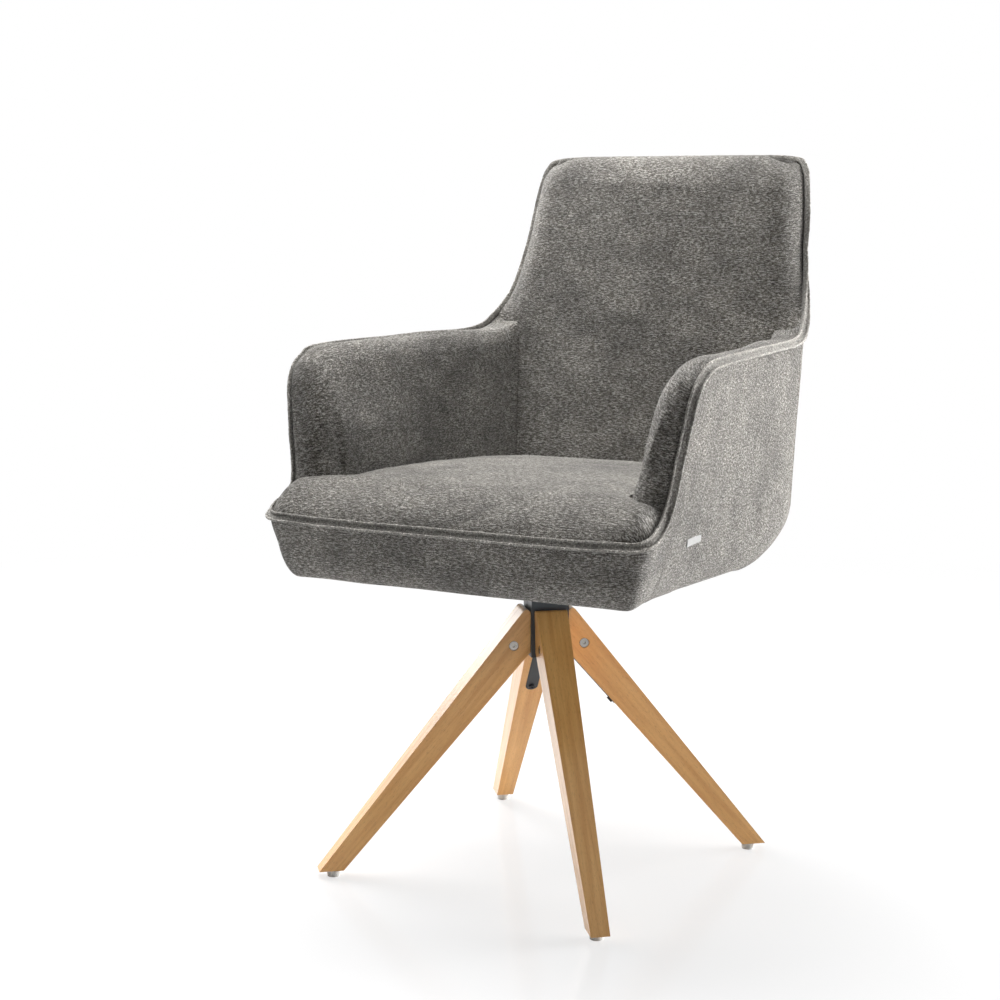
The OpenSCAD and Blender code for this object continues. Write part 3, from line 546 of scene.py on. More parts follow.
class Graph:
    """The nodes of a material or a world, added one by one."""

    def __init__(self, holder: Union[Material, bpy.types.World]) -> None:
        """Starts without nodes.

        Args:
            holder: The material or world that holds them.
        """
        self.holder = holder
        holder.use_nodes = True
        self.tree = holder.node_tree
        self.tree.nodes.clear()

    def add(self, kind: str, sockets: Optional[dict] = None, **settings: object) -> bpy.types.Node:
        """Adds a node.

        Args:
            kind: The node's type name, without ShaderNode.
            sockets: Values or wires for its inputs, by name or number. A colour has no alpha here.
            settings: The node's own settings.

        Returns:
            The new node.
        """
        node = self.tree.nodes.new("ShaderNode" + kind)
        put(node, **settings)
        for key, value in (sockets or {}).items():
            socket = node.inputs[key]
            if isinstance(value, Socket):
                self.tree.links.new(value, socket)
            else:
                socket.default_value = (*value, 1.0) if socket.type == "RGBA" else value
        return node

    def place(self) -> Socket:
        """Place of a point in its object's own axes, in metres."""
        return self.add("TexCoord").outputs["Object"]

    def attribute(self, name: str, output: str) -> Socket:
        """Value that the mesh keeps for each point under that name."""
        return self.add("Attribute", attribute_name=name).outputs[output]

    def turned(self, vector: Wire, angles: tuple) -> Socket:
        """A vector turned about the three axes, in radians."""
        sockets = {"Vector": vector, "Rotation": angles}
        return self.add("VectorRotate", sockets, rotation_type="EULER_XYZ").outputs[0]

    def noise(self, vector: Wire, scale: tuple, detail: float = 2, rough: float = 0.5,
              twist: float = 0) -> Socket:
        """Adds noise.

        Args:
            vector: Where it is looked up.
            scale: Hills per metre on each axis.
            detail: Number of finer layers.
            rough: Share of the finer layers.
            twist: How much it is bent by itself.

        Returns:
            Values from 0 to 1.
        """
        at = self.add("VectorMath", {0: vector, 1: scale}, operation="MULTIPLY").outputs[0]
        return self.add("TexNoise", {"Vector": at, "Scale": 1.0, "Detail": detail,
                                     "Roughness": rough, "Distortion": twist}).outputs[0]

    def remap(self, value: Wire, low: float, high: float, to_low: float = 0,
              to_high: float = 1) -> Socket:
        """A value moved from one range into another, and held in it."""
        return self.add("MapRange", {"Value": value, "From Min": low, "From Max": high,
                                     "To Min": to_low, "To Max": to_high}).outputs[0]

    def math(self, operation: str, a: Wire, b: Wire) -> Socket:
        """Result of an operation on two values."""
        return self.add("Math", {0: a, 1: b}, operation=operation).outputs[0]

    def mix(self, share: Wire, a: Wire, b: Wire, blend: str = "MIX") -> Socket:
        """Mix of two colours."""
        sockets = {0: share, 6: a, 7: b}
        return self.add("Mix", sockets, data_type="RGBA", blend_type=blend).outputs[2]

    def bump(self, height: Wire, depth: float, strength: float,
             below: Optional[Socket] = None) -> Socket:
        """Adds relief to the surface.

        Args:
            height: Height, from 0 to 1.
            depth: Depth in metres.
            strength: Share of the relief that shows.
            below: Normal of the relief that this one lies on.

        Returns:
            The surface's normal.
        """
        sockets = {"Height": height, "Distance": depth, "Strength": strength}
        if below is not None:
            sockets["Normal"] = below
        return self.add("Bump", sockets).outputs[0]

    def finish(self, **sockets: Wire) -> Material:
        """Ends the material with a principled shader.

        Args:
            sockets: Its sockets, with _ for each space.

        Returns:
            The material.
        """
        shader = self.add("BsdfPrincipled", {key.replace("_", " "): value for key, value in sockets.items()})
        self.add("OutputMaterial", {"Surface": shader.outputs[0]})
        return self.holder


@dataclass(frozen=True)
class Chenille:
    """Soft looped cloth with short wavy ribs across it, crushed here and there.

    Slub, tuft, crush and cloud are noise scales per metre of cloth, from the ribs to the broadest
    patches, and crest is how much lighter the raised beads of a welt are painted, a painted highlight.
    """

    dark: Colour = from_srgb(42, 39, 32)
    mid: Colour = from_srgb(112, 107, 98)
    light: Colour = from_srgb(221, 218, 213)
    slub: tuple = (200.0, 640.0, 200.0)
    tuft: tuple = (760.0, 1050.0, 760.0)
    crush: tuple = (20.0, 30.0, 20.0)
    cloud: tuple = (6.0, 8.0, 6.0)
    crest: float = 0.0

    def build(self, name: str) -> Material:
        """Makes the material.

        Args:
            name: Name of the material.

        Returns:
            The material.
        """
        g = Graph(bpy.data.materials.new(name))
        at = g.attribute("cloth", "Vector")
        ribs = g.noise(at, self.slub, 2, 0.55, 0.7)
        tufts = g.noise(at, self.tuft, 2, 0.6, 0.3)
        crush = g.noise(at, self.crush, 4, 0.6, 0.8)
        cloud = g.noise(at, self.cloud)
        pile = g.math("ADD", g.remap(ribs, 0.3, 0.7, 0.0, 0.5), g.remap(tufts, 0.28, 0.72, 0.0, 0.5))
        body = g.mix(g.remap(pile, 0.2, 0.52), self.dark, self.mid)
        body = g.mix(g.remap(pile, 0.5, 0.8), body, self.light)
        patch = g.math("ADD", g.remap(crush, 0.3, 0.7, 0.69, 1.27), g.remap(cloud, 0.3, 0.7, -0.22, 0.22))
        # Painted highlight: the welt's raised beads are made up to crest lighter than its web, and the whole
        # welt 1.12 lighter to offset the shade in its web.
        if self.crest:
            painted_bead_light = g.remap(g.attribute("crest", "Fac"), 0.0, 1.0, 1.12, 1.12 + self.crest)
            patch = g.math("MULTIPLY", patch, painted_bead_light)
        grey = g.add("CombineColor", {0: patch, 1: patch, 2: patch}).outputs[0]
        colour = g.mix(1.0, body, grey, "MULTIPLY")
        bumps = g.bump(pile, 0.003, 0.95, g.bump(crush, 0.004, 0.5))
        return g.finish(Base_Color=colour, Roughness=0.95, Specular_IOR_Level=0.12, Normal=bumps,
                        Sheen_Weight=0.4, Sheen_Roughness=0.45, Sheen_Tint=from_srgb(240, 240, 240))


@dataclass(frozen=True)
class Beech:
    """Lacquered beech with straight grain and short dark flecks, running along a leg."""

    pale: Colour = from_srgb(231, 180, 110)
    deep: Colour = from_srgb(210, 153, 84)
    fleck: Colour = from_srgb(158, 106, 52)

    def build(self, name: str, turn: float, tilt: float) -> Material:
        """Makes the material.

        Args:
            name: Name of the material.
            turn: Turn of the leg about the swivel axis, in radians.
            tilt: Slope of the leg, in radians, down from level.

        Returns:
            The material.
        """
        g = Graph(bpy.data.materials.new(name))
        along = g.turned(g.turned(g.place(), (0.0, 0.0, -turn)), (0.0, -tilt, 0.0))
        grain = g.noise(along, (7.0, 160.0, 160.0), 4, 0.6, 0.4)
        broad = g.noise(along, (2.5, 28.0, 28.0))
        rays = g.noise(along, (170.0, 1500.0, 1500.0), 1)
        colour = g.mix(g.remap(grain, 0.35, 0.65), self.deep, self.pale)
        colour = g.mix(g.remap(broad, 0.35, 0.7, 0.0, 0.35), colour, self.deep)
        colour = g.mix(g.remap(rays, 0.6, 0.7, 0.0, 0.4), colour, self.fleck)
        return g.finish(Base_Color=colour, Roughness=g.remap(grain, 0.3, 0.7, 0.42, 0.34),
                        Normal=g.bump(grain, 0.0003, 0.25), Coat_Weight=0.5, Coat_Roughness=0.2)


@dataclass(frozen=True)
class Metal:
    """Bare, painted or plated metal with faint marks of handling."""

    tone: Colour
    metallic: float
    rough: float

    def build(self, name: str) -> Material:
        """Makes the material.

        Args:
            name: Name of the material.

        Returns:
            The material.
        """
        g = Graph(bpy.data.materials.new(name))
        at = g.place()
        fine = g.noise(at, (900.0, 900.0, 900.0), 2, 0.6)
        wear = g.noise(at, (60.0, 60.0, 60.0), 3, 0.6)
        darker = tuple(c * 0.8 for c in self.tone)
        colour = g.mix(g.remap(wear, 0.35, 0.65), darker, self.tone)
        rough = g.remap(wear, 0.3, 0.7, self.rough * 0.85, self.rough * 1.25)
        return g.finish(Base_Color=colour, Metallic=self.metallic, Roughness=rough,
                        Normal=g.bump(fine, 0.0001, 0.2))


@dataclass(frozen=True)
class Plain:
    """A moulded or sawn surface: one tone with a fine grain and a slow variation."""

    tone: Colour
    rough: float
    grain: tuple = (700.0, 700.0, 700.0)
    depth: float = 0.0002

    def build(self, name: str) -> Material:
        """Makes the material.

        Args:
            name: Name of the material.

        Returns:
            The material.
        """
        g = Graph(bpy.data.materials.new(name))
        at = g.place()
        fine = g.noise(at, self.grain, 3, 0.6)
        slow = g.noise(at, (18.0, 18.0, 18.0))
        darker = tuple(c * 0.86 for c in self.tone)
        colour = g.mix(g.remap(g.math("ADD", fine, slow), 0.7, 1.3), darker, self.tone)
        return g.finish(Base_Color=colour, Roughness=self.rough, Normal=g.bump(fine, self.depth, 0.5))


# Stuffing


@dataclass(frozen=True)
class Stuffing:
    """Cloth simulation that swells a pad's cover, held where it is sewn or hidden.

    The cap is the furthest that a point may move, in millimetres.
    """

    cap: float
    pressure: float = 4.0
    frames: int = 20

    def swell(self, piece: Piece, held: Array) -> None:
        """Swells a piece and keeps the result in its mesh.

        Args:
            piece: The piece, whose mesh is closed.
            held: How firmly each point is held, from 0 to 1.
        """
        self.simulate(piece, held)
        add_modifier(piece, "SUBSURF", levels=1, render_levels=1)

    def simulate(self, piece: Piece, held: Array) -> None:
        """Runs the simulation and moves the mesh by its result, within the cap.

        Args:
            piece: The piece.
            held: How firmly each point is held, from 0 to 1.
        """
        mesh, scene = piece.data, bpy.context.scene
        group = piece.vertex_groups.new(name="sewn")
        for level in np.unique(np.round(held, 2)):
            if level > 0:
                group.add(np.nonzero(np.round(held, 2) == level)[0].tolist(), float(level), "REPLACE")
        cloth = add_modifier(piece, "CLOTH")
        put(cloth.settings, quality=5, mass=0.3, tension_stiffness=15.0, compression_stiffness=15.0,
            bending_stiffness=0.5, use_pressure=True, uniform_pressure_force=self.pressure,
            vertex_group_mass="sewn")
        cloth.settings.effector_weights.gravity = 0.0
        cloth.collision_settings.use_collision = False
        put(cloth.point_cache, frame_start=1, frame_end=self.frames)
        for step in range(1, self.frames + 1):
            scene.frame_set(step)
        shaped = piece.evaluated_get(bpy.context.evaluated_depsgraph_get()).data
        before, after = (np.empty(len(mesh.vertices) * 3) for _ in range(2))
        mesh.vertices.foreach_get("co", before)
        shaped.vertices.foreach_get("co", after)
        move = (after - before).reshape(-1, 3)
        far = np.linalg.norm(move, axis=1, keepdims=True)
        limit = self.cap * MM
        move *= np.tanh(far / limit) * limit / np.maximum(far, 1e-9) * (1 - held)[:, None]
        LOG.info("%s swelled by up to %.1f mm", piece.name, float(np.linalg.norm(move, axis=1).max()) / MM)
        piece.modifiers.remove(cloth)
        piece.vertex_groups.remove(group)
        mesh.vertices.foreach_set("co", (before.reshape(-1, 3) + move).ravel())
        mesh.update()
        scene.frame_set(1)


# Sub-assemblies


@dataclass
class SoftPart:
    """A soft sub-assembly, which follows the shell's lines and has one cloth."""

    shell: Shell
    material: Material

    def stuff(self, names: tuple[str, str], loops: Array, cloth: Array, free: Array,
              cap: float) -> None:
        """Makes a padded piece and swells it.

        Args:
            names: Name of the piece, and of the node that it replaces.
            loops: Points of its closed cover, shaped (loops, points of a loop, 3), in millimetres.
            cloth: Places on the cloth, of the same shape.
            free: How freely each point swells, from 0 to 1.
            cap: Furthest that a point moves, in millimetres.
        """
        piece = tube_mesh(names[0], loops, cloth)
        Stuffing(cap).swell(piece, np.append(1 - free.ravel(), [1.0, 1.0]))
        dress(piece, self.material, names[1:])


@dataclass
class OuterCover(SoftPart):
    """The outer cloth: one run round the front and both arms, and one over the back."""

    straight: int = 44
    curved: int = 26
    top_drop: float = 1.0
    dip: float = 0.6
    dip_h: float = 9.0
    seam_dip: float = 2.0
    lip: float = 24.0
    cloth_t: float = 2.0
    corner_at: float = 3.0
    corner_reach: float = 17.0
    corner_h: float = 38.0
    creases: tuple = ((0.8, 70.0, 3.1), (0.4, 28.0, 9.7))
    arm_stretch: float = 0.5
    arm_squeeze: float = 0.3

    def soften_corners(self, u: Array, points: Array) -> Array:
        """Rounds the lower part of the two front corners in plan.

        Args:
            u: Stations, one column.
            points: Points of the cover, shaped (stations, rows, 3).

        Returns:
            The points, moved.
        """
        share = np.exp(-(((np.abs(u) - self.corner_at) / 2.2) ** 6))
        below = smooth((points[:, :1, 2] - points[..., 2]) / self.corner_h)
        length = running(points * [1, 1, 0], 0) / MM
        out = points.copy()
        for row in range(points.shape[1]):
            gap = (length[:, row][:, None] - length[:, row][None, :]) / self.corner_reach
            weight = np.exp(-0.5 * gap ** 2)
            weight /= weight.sum(axis=1, keepdims=True)
            soft = weight @ points[:, row, :2]
            out[:, row, :2] += (share[:, 0] * below[:, row])[:, None] * (soft - points[:, row, :2])
        return out

    def grid(self, first: float, last: float, count: int) -> Array:
        """Points of the cover between two stations, from the rim to the turned-in foot.

        Args:
            first: First station.
            last: Last station.
            count: Number of columns.

        Returns:
            Points, shaped (stations, rows, 3).
        """
        s = self.shell
        u = np.linspace(first, last, count)[:, None]
        w, _ = s.fold(u)
        top = s.rim(u)[..., 2] - self.top_drop
        h, low = s.round_h(w), s.low_z(w)
        k = np.linspace(0, 1, self.straight)[None, :] ** 1.25
        a = np.linspace(0, math.pi / 2, self.curved + 1)[None, 1:]
        z = np.concatenate([top + (low + h - top) * k, low + h - h * np.sin(a)], axis=1)
        uu = np.broadcast_to(u, z.shape)
        seam = np.minimum(np.abs(uu - first), np.abs(uu - last))
        depth = self.dip * (1 - smooth((top - z) / self.dip_h)) + self.seam_dip * (1 - smooth(seam / 0.05))
        points = s.under(uu, z, depth)
        if first < 0:
            points = self.soften_corners(u, points)
        normal = s.normal(uu, np.maximum(z, low + 1.5))
        fade = smooth((top - z) / 25.0)
        points = points + normal * (fade * waves(points, *self.creases))[..., None]
        points[..., 2] = np.maximum(points[..., 2], low)
        inward = points[:, -1:, :].copy()
        middle = np.array([0.0, -40.0, 0.0])
        toward = unit((middle - inward) * [1, 1, 0])
        lips = [inward + toward * self.lip * f + [0, 0, 0.3 * f] for f in (0.1, 0.3, 0.6, 1.0)]
        return np.concatenate([points, *lips], axis=1)

    def sheet(self, name: str, first: float, last: float, count: int, nodes: Sequence[str]) -> None:
        """Makes one run of the cover, whose ribs are stretched along the arms.

        Args:
            name: Name of the piece.
            first: First station.
            last: Last station.
            count: Number of columns.
            nodes: Names of the nodes that it replaces.
        """
        grid = self.grid(first, last, count)
        arm = smooth((np.abs(np.linspace(first, last, count)) - 3.0) / 3.0)
        steps = np.diff(running(grid, 0)[:, self.straight // 2])
        steps = steps * (1 + self.arm_stretch * (arm[1:] + arm[:-1]) / 2)
        up = -running(grid, 1)
        up = (up - up[:, -1:]) * (1 - self.arm_squeeze * arm)[:, None]
        along = np.concatenate([[0], np.cumsum(steps)])[:, None] * np.ones(up.shape)
        piece = sheet_mesh(name, grid, np.stack([along, up, np.zeros_like(up)], axis=-1))
        add_modifier(piece, "SOLIDIFY", thickness=self.cloth_t * MM, offset=-1.0)
        dress(piece, self.material, nodes)

    def build(self) -> None:
        """Makes both runs."""
        seam = self.shell.rear_seam
        self.sheet("outer_front_and_arms", -seam, seam, 560,
                   ["front_apron", "outer_arm_left", "outer_arm_right"])
        self.sheet("outer_back_cover", seam, 2 * self.shell.end - seam, 330, ["outer_back"])


@dataclass
class DoubleWelt(SoftPart):
    """The flat band with a raised bead along each edge that covers the rim's seam."""

    width: float = 12.4
    bead: float = 1.4
    bead_rise: float = 0.8
    web: float = 3.0
    web_sag: float = 0.2
    root: float = -1.5
    lift: float = 0.4
    step: float = 1.8
    wobble: tuple = (0.35, 16.0, 4.4)
    lumps: tuple = (0.34, 4.5, 1.3)
    cloth_at: float = 0.7
    split: float = 4.0
    split_gap: float = 0.004

    def profile(self) -> Array:
        """Cross-section of the band: across its width and up from its seat, in millimetres.

        Returns:
            Points, shaped (points, 2), in order round the band.
        """
        half, middle = self.width / 2 - self.bead, self.web + self.bead_rise
        outline = []
        for side, start in ((1, -70), (-1, -20)):
            outline += [[side * half + self.bead * math.cos(a), middle + self.bead * math.sin(a)]
                        for a in np.radians(np.linspace(start, start + 270, 11))]
            if side == 1:
                outline += [[half * f, self.web + 0.1 - self.web_sag * (1 - abs(f))]
                            for f in (0.5, 0.17, -0.17, -0.5)]
        return np.array(outline + [[-half, self.root], [half, self.root]])

    def run(self, name: str, first: float, last: float, node: str) -> None:
        """Sweeps the band along the rim.

        Args:
            name: Name of the piece.
            first: First station.
            last: Last station.
            node: Name of the node that it replaces.
        """
        s = self.shell
        fine, length = s.measured(first, last, 4000)
        at = np.linspace(0, length[-1], int(length[-1] / self.step) + 1)
        u = np.interp(at, length, fine)
        p = s.rim(u)
        along = unit(s.rim(u + 0.03) - s.rim(u - 0.03))
        out = s.normal(u, p[:, 2] - 4)
        away = unit(np.cross(out, along))
        face, wide = unit(out + away)[:, None, :], unit(out - away)[:, None, :]
        shape = self.profile()
        wobble = waves(p, self.wobble)[:, None, None]
        loops = (p[:, None, :] + face * (shape[None, :, 1:] + self.lift)
                 + wide * (shape[None, :, :1] - 0.5 + wobble))
        loops = loops + face * waves(loops, self.lumps)[..., None]
        around = running(loops, 1)
        here = np.broadcast_to(at[:, None] * MM, around.shape)
        piece = tube_mesh(name, loops, np.stack([here, around, np.full_like(around, self.cloth_at)], axis=-1))
        # Share of bead height at each point; the welt's cloth uses it to paint the raised beads lighter, a
        # painted highlight.
        crest = np.append(np.tile(clamp((shape[:, 1] - self.web - 0.4) / 1.2), len(at)), [0.0, 0.0])
        layer = piece.data.attributes.new("crest", "FLOAT", "POINT")
        layer.data.foreach_set("value", crest.astype(np.float32))
        dress(piece, self.material, [node])

    def build(self) -> None:
        """Makes the band along the seat's front and the one round the arms and the back."""
        start = self.split + self.split_gap
        self.run("double_welt_seat", -self.split, self.split, "seat_welt")
        self.run("double_welt_arms_and_back", start, 2 * self.shell.end - start, "arm_and_back_welt")


@dataclass
class SeatCushion(SoftPart):
    """The crowned seat, rolled down to the front welt, with ears in front of the arms."""

    crown: float = 515.0
    roll: float = 74.0
    ear_roll: float = 21.0
    rear_drop: float = 21.0
    inset: float = 1.6
    tuck: float = 6.0
    ear_y: float = -215.0
    notch: float = 58.0
    rows: int = 96
    cols: int = 76
    cap: float = 3.5
    creases: tuple = ((1.5, 95.0, 5.2), (0.7, 38.0, 2.2))
    cloth_at: float = 1.9

    def rim_at(self, y: Array) -> tuple[Array, Array]:
        """Half-width and height of the rim beside the seat's front, at places along its depth."""
        fine = self.shell.rim(np.linspace(1.0, 4.6, 400))
        return np.interp(y, fine[:, 1], fine[:, 0]), np.interp(y, fine[:, 1], fine[:, 2])

    def half_at(self, y: Array) -> Array:
        """Half-width of the cushion.

        Args:
            y: Places along its depth.

        Returns:
            The half-widths.
        """
        s = self.shell
        ear = self.rim_at(np.minimum(y, self.ear_y + 12))[0] - self.inset
        between = s.arm_x(y, s.welt_z - 2) - s.arm_thick(y) + 3.0
        blend = smooth((y - self.ear_y) / self.notch)
        return ear * (1 - blend) + between * blend

    @staticmethod
    def rise(distance: Array, reach: float) -> Array:
        """Height, from 0 to 1, of the cushion's soft edge at a distance from the welt."""
        k = clamp(distance / reach)
        return (1 - (1 - k) ** 1.8) ** 0.72

    def top(self, x: Array, y: Array, rear: float) -> Array:
        """Height of the cushion's top.

        Args:
            x: Places across the seat.
            y: Places along its depth.
            rear: Place of its rear end.

        Returns:
            The heights.
        """
        s = self.shell
        front = y + s.seat_front - self.inset
        side = self.half_at(y) - np.abs(x)
        ear_on = 1 - smooth((y - self.ear_y + 6) / 26)
        edge = self.rim_at(np.minimum(y, self.ear_y + 8))[1]
        edge = s.welt_z + (edge - s.welt_z) * smooth((np.abs(x) - 150) / 80)
        wide = ear_on * self.rise(side, self.ear_roll) + (1 - ear_on) * (0.92 + 0.08 * swell(side, 60))
        slope = self.rear_drop * clamp((y + 120) / (rear + 120)) ** 1.6
        return edge + (self.crown - edge) * self.rise(front, self.roll) * wide - slope

    def build(self) -> None:
        """Makes the cushion."""
        s = self.shell
        low = s.welt_z - 3
        front, rear = self.inset - s.seat_front, float(s.face_y(low)) - 1
        y = (front + (rear - front) * np.linspace(0, 1, self.rows + 1) ** 1.5)[:, None]
        half = self.half_at(y)
        x = half * -np.cos(np.linspace(0, math.pi, self.cols + 1))[None, :]
        yy = np.broadcast_to(y, x.shape)
        z = self.top(x, yy, rear)
        top = np.stack([x, yy, z], axis=-1)
        top[..., 2] += smooth((z - s.welt_z - 8) / 20) * waves(top, *self.creases)
        hems = ((0.5, np.minimum(z[:, :1] - 0.5, low + 1.5)), (self.tuck, np.full_like(y, low)))
        left, right = (
            [np.concatenate([side * (half - inset), y, floor], axis=1)[:, None] for inset, floor in hems]
            for side in (1, -1)
        )
        loops = np.concatenate([top, *left, *right[::-1]], axis=1)[:, ::-1]
        run = along_column(loops, self.cols // 2)
        cloth = np.stack([loops[..., 0] * MM, run, np.full_like(run, self.cloth_at)], axis=-1)
        ends = np.minimum(loops[..., 1] - front, rear - loops[..., 1])
        edge = np.minimum(ends, half - np.abs(loops[..., 0]))
        free = smooth((edge - 5) / 16) * smooth((loops[..., 2] - s.welt_z - 4) / 10)
        self.stuff(("seat_upholstery", "seat_cushion"), loops, cloth, free, self.cap)


@dataclass
class ArmPads(SoftPart):
    """The padding inside each arm, rolled out over the arm's front and top to the welt."""

    first: float = 3.32
    last: float = 11.75
    bulge: float = 10.0
    roll_t: float = 44.0
    turn_in: float = 20.0
    stations: int = 520
    slices: int = 96
    around: int = 60
    cap: float = 3.0

    def section(self, u: Array) -> Array:
        """Points of the pad's roll: depth from the skin and rise beyond the rim.

        Args:
            u: Stations along the rim.

        Returns:
            Pairs, shaped (stations, points, 2), in millimetres.
        """
        start = smooth((u - self.first) / 0.9)
        t = self.roll_t + 6 * (1 - smooth((u - 5) / 3))
        b = (self.bulge + 3 * (1 - smooth((u - 6) / 2.5))) * (0.35 + 0.65 * start)
        b = b * (1 - 0.8 * smooth((u - 9.1) / 1.5))
        one = np.ones_like(u)
        pairs = [(d * one, r * one) for d, r in ((7.5, -11), (5.0, -4), (2.6, -0.4), (1.6, 1.8))]
        pairs += [(d * t, r * b) for d, r in ((0.09, 0.5), (0.25, 0.87), (0.47, 1), (0.69, 0.8), (0.87, 0.2))]
        pairs += [(0.975 * t, -0.45 * self.turn_in * one), (t, -self.turn_in * one)]
        return np.stack([np.stack(pair, axis=-1) for pair in pairs], axis=1)

    def knots(self) -> Array:
        """Coarse sections of the sitter's left pad, close together along the rim.

        Returns:
            Points, shaped (stations, knots of a section, 3).
        """
        s = self.shell
        fine, length = s.measured(self.first, self.last, 3000)
        u = np.interp(np.linspace(0, length[-1], self.stations), length, fine)
        p = s.rim(u)
        flat = unit((s.rim(u + 0.12) - s.rim(u - 0.12))[:, 1:])
        away = np.stack([-flat[:, 1], flat[:, 0]], axis=-1)
        pair = self.section(u)
        yz = p[:, None, 1:] + away[:, None, :] * pair[..., 1:]
        shift = p[:, 0] - s.arm_x(p[:, 1], p[:, 2])
        x = s.arm_x(yz[..., 0], yz[..., 1]) + shift[:, None] - pair[..., 0]
        roll = np.concatenate([x[..., None], yz], axis=-1)
        y, turn_z, base = roll[:, -1, 1], roll[:, -1, 2], pair[:, -1, 0]
        foot = np.minimum(s.welt_z - 3, turn_z - 5)
        rows = []
        for q in (0.18, 0.42, 0.7, 0.93, 1.0):
            want = np.maximum(s.arm_thick(y) + (1.0 if q < 0.9 else -0.5), base)
            depth = base + (want - base) * smooth(np.full_like(y, q / 0.6)) - (3 if q == 1.0 else 0)
            rows.append((turn_z + (foot - turn_z) * q, depth))
        rows += [(foot + (turn_z - foot) * share, depth) for share, depth in ((0.0, 26.0), (0.5, 20.0))]
        inner = [np.stack([s.arm_x(y, z) + shift - depth, y, z], axis=-1) for z, depth in rows]
        return np.concatenate([roll, np.stack(inner, axis=1)], axis=1)

    def loops(self) -> Array:
        """Slices of the sitter's left pad, from its foot at the seat's corner to the back.

        Returns:
            Points, shaped (slices, points, 3).
        """
        s = self.shell
        dense = catmull(self.knots(), self.around)
        depth = s.arm_x(dense[..., 1], dense[..., 2]) - dense[..., 0]
        dense[..., 2] -= 0.45 * np.maximum(0, dense[..., 2] - s.arm_top - 10) * smooth((depth - 8) / 20)
        past = dense[..., 1] - s.face_y(dense[..., 2]) - 2 - 32 * clamp(1 - depth / 24) ** 1.4
        out = np.empty((self.slices + 1, self.around, 3))
        share, last = np.linspace(0, 1, self.slices + 1), self.stations - 1
        for j in range(self.around):
            over = np.nonzero(past[:, j] > 0)[0]
            k = over[0] if len(over) else last
            cut = k - 1 + past[k - 1, j] / (past[k - 1, j] - past[k, j]) if len(over) and k else k
            for axis in range(3):
                out[:, j, axis] = np.interp(share * cut, np.arange(self.stations), dense[:, j, axis])
        return out

    def build(self) -> None:
        """Makes both pads."""
        left = self.loops()
        depth = self.shell.arm_x(left[..., 1], left[..., 2]) - left[..., 0]
        r = running(left, 1) / MM
        turn = np.argmin(np.abs(depth - self.roll_t + 1.5), axis=1)
        rows = np.arange(len(left))
        flat = (left[rows, turn, 2] + r[rows, turn])[:, None] - left[..., 2] - r
        past = np.arange(self.around)[None, :] >= turn[:, None]
        rise = smooth((left[:, :1, 1] + 190) / 60) * np.where(past, 0.0, flat)
        knot, at = np.linspace(0, 17, self.around)[None, :], rows[:, None]
        free = (smooth((knot - 3.2) / 2) * smooth((15 - knot) / 1.2) * smooth((at - 3) / 12)
                * smooth((self.slices - 2 - at) / 36))
        for side, name in ((1, "left"), (-1, "right")):
            grid = left * [side, 1, 1]
            away = unit((grid - grid.mean(axis=1, keepdims=True)) * [1, 0.2, 1])
            wave = waves(grid, (1.1, 85.0, 6.5 * side), (0.5, 34.0, 1.5))
            grid = grid + away * (smooth((depth - 5) / 10) * wave)[..., None]
            cloth = np.stack([grid[..., 0], grid[..., 2] + rise, grid[..., 1]], axis=-1) * MM
            order = slice(None, None, -side)
            self.stuff((f"arm_padding_{name}", f"arm_pad_{name}"), grid[:, order], cloth[:, order],
                       free[:, order], self.cap)


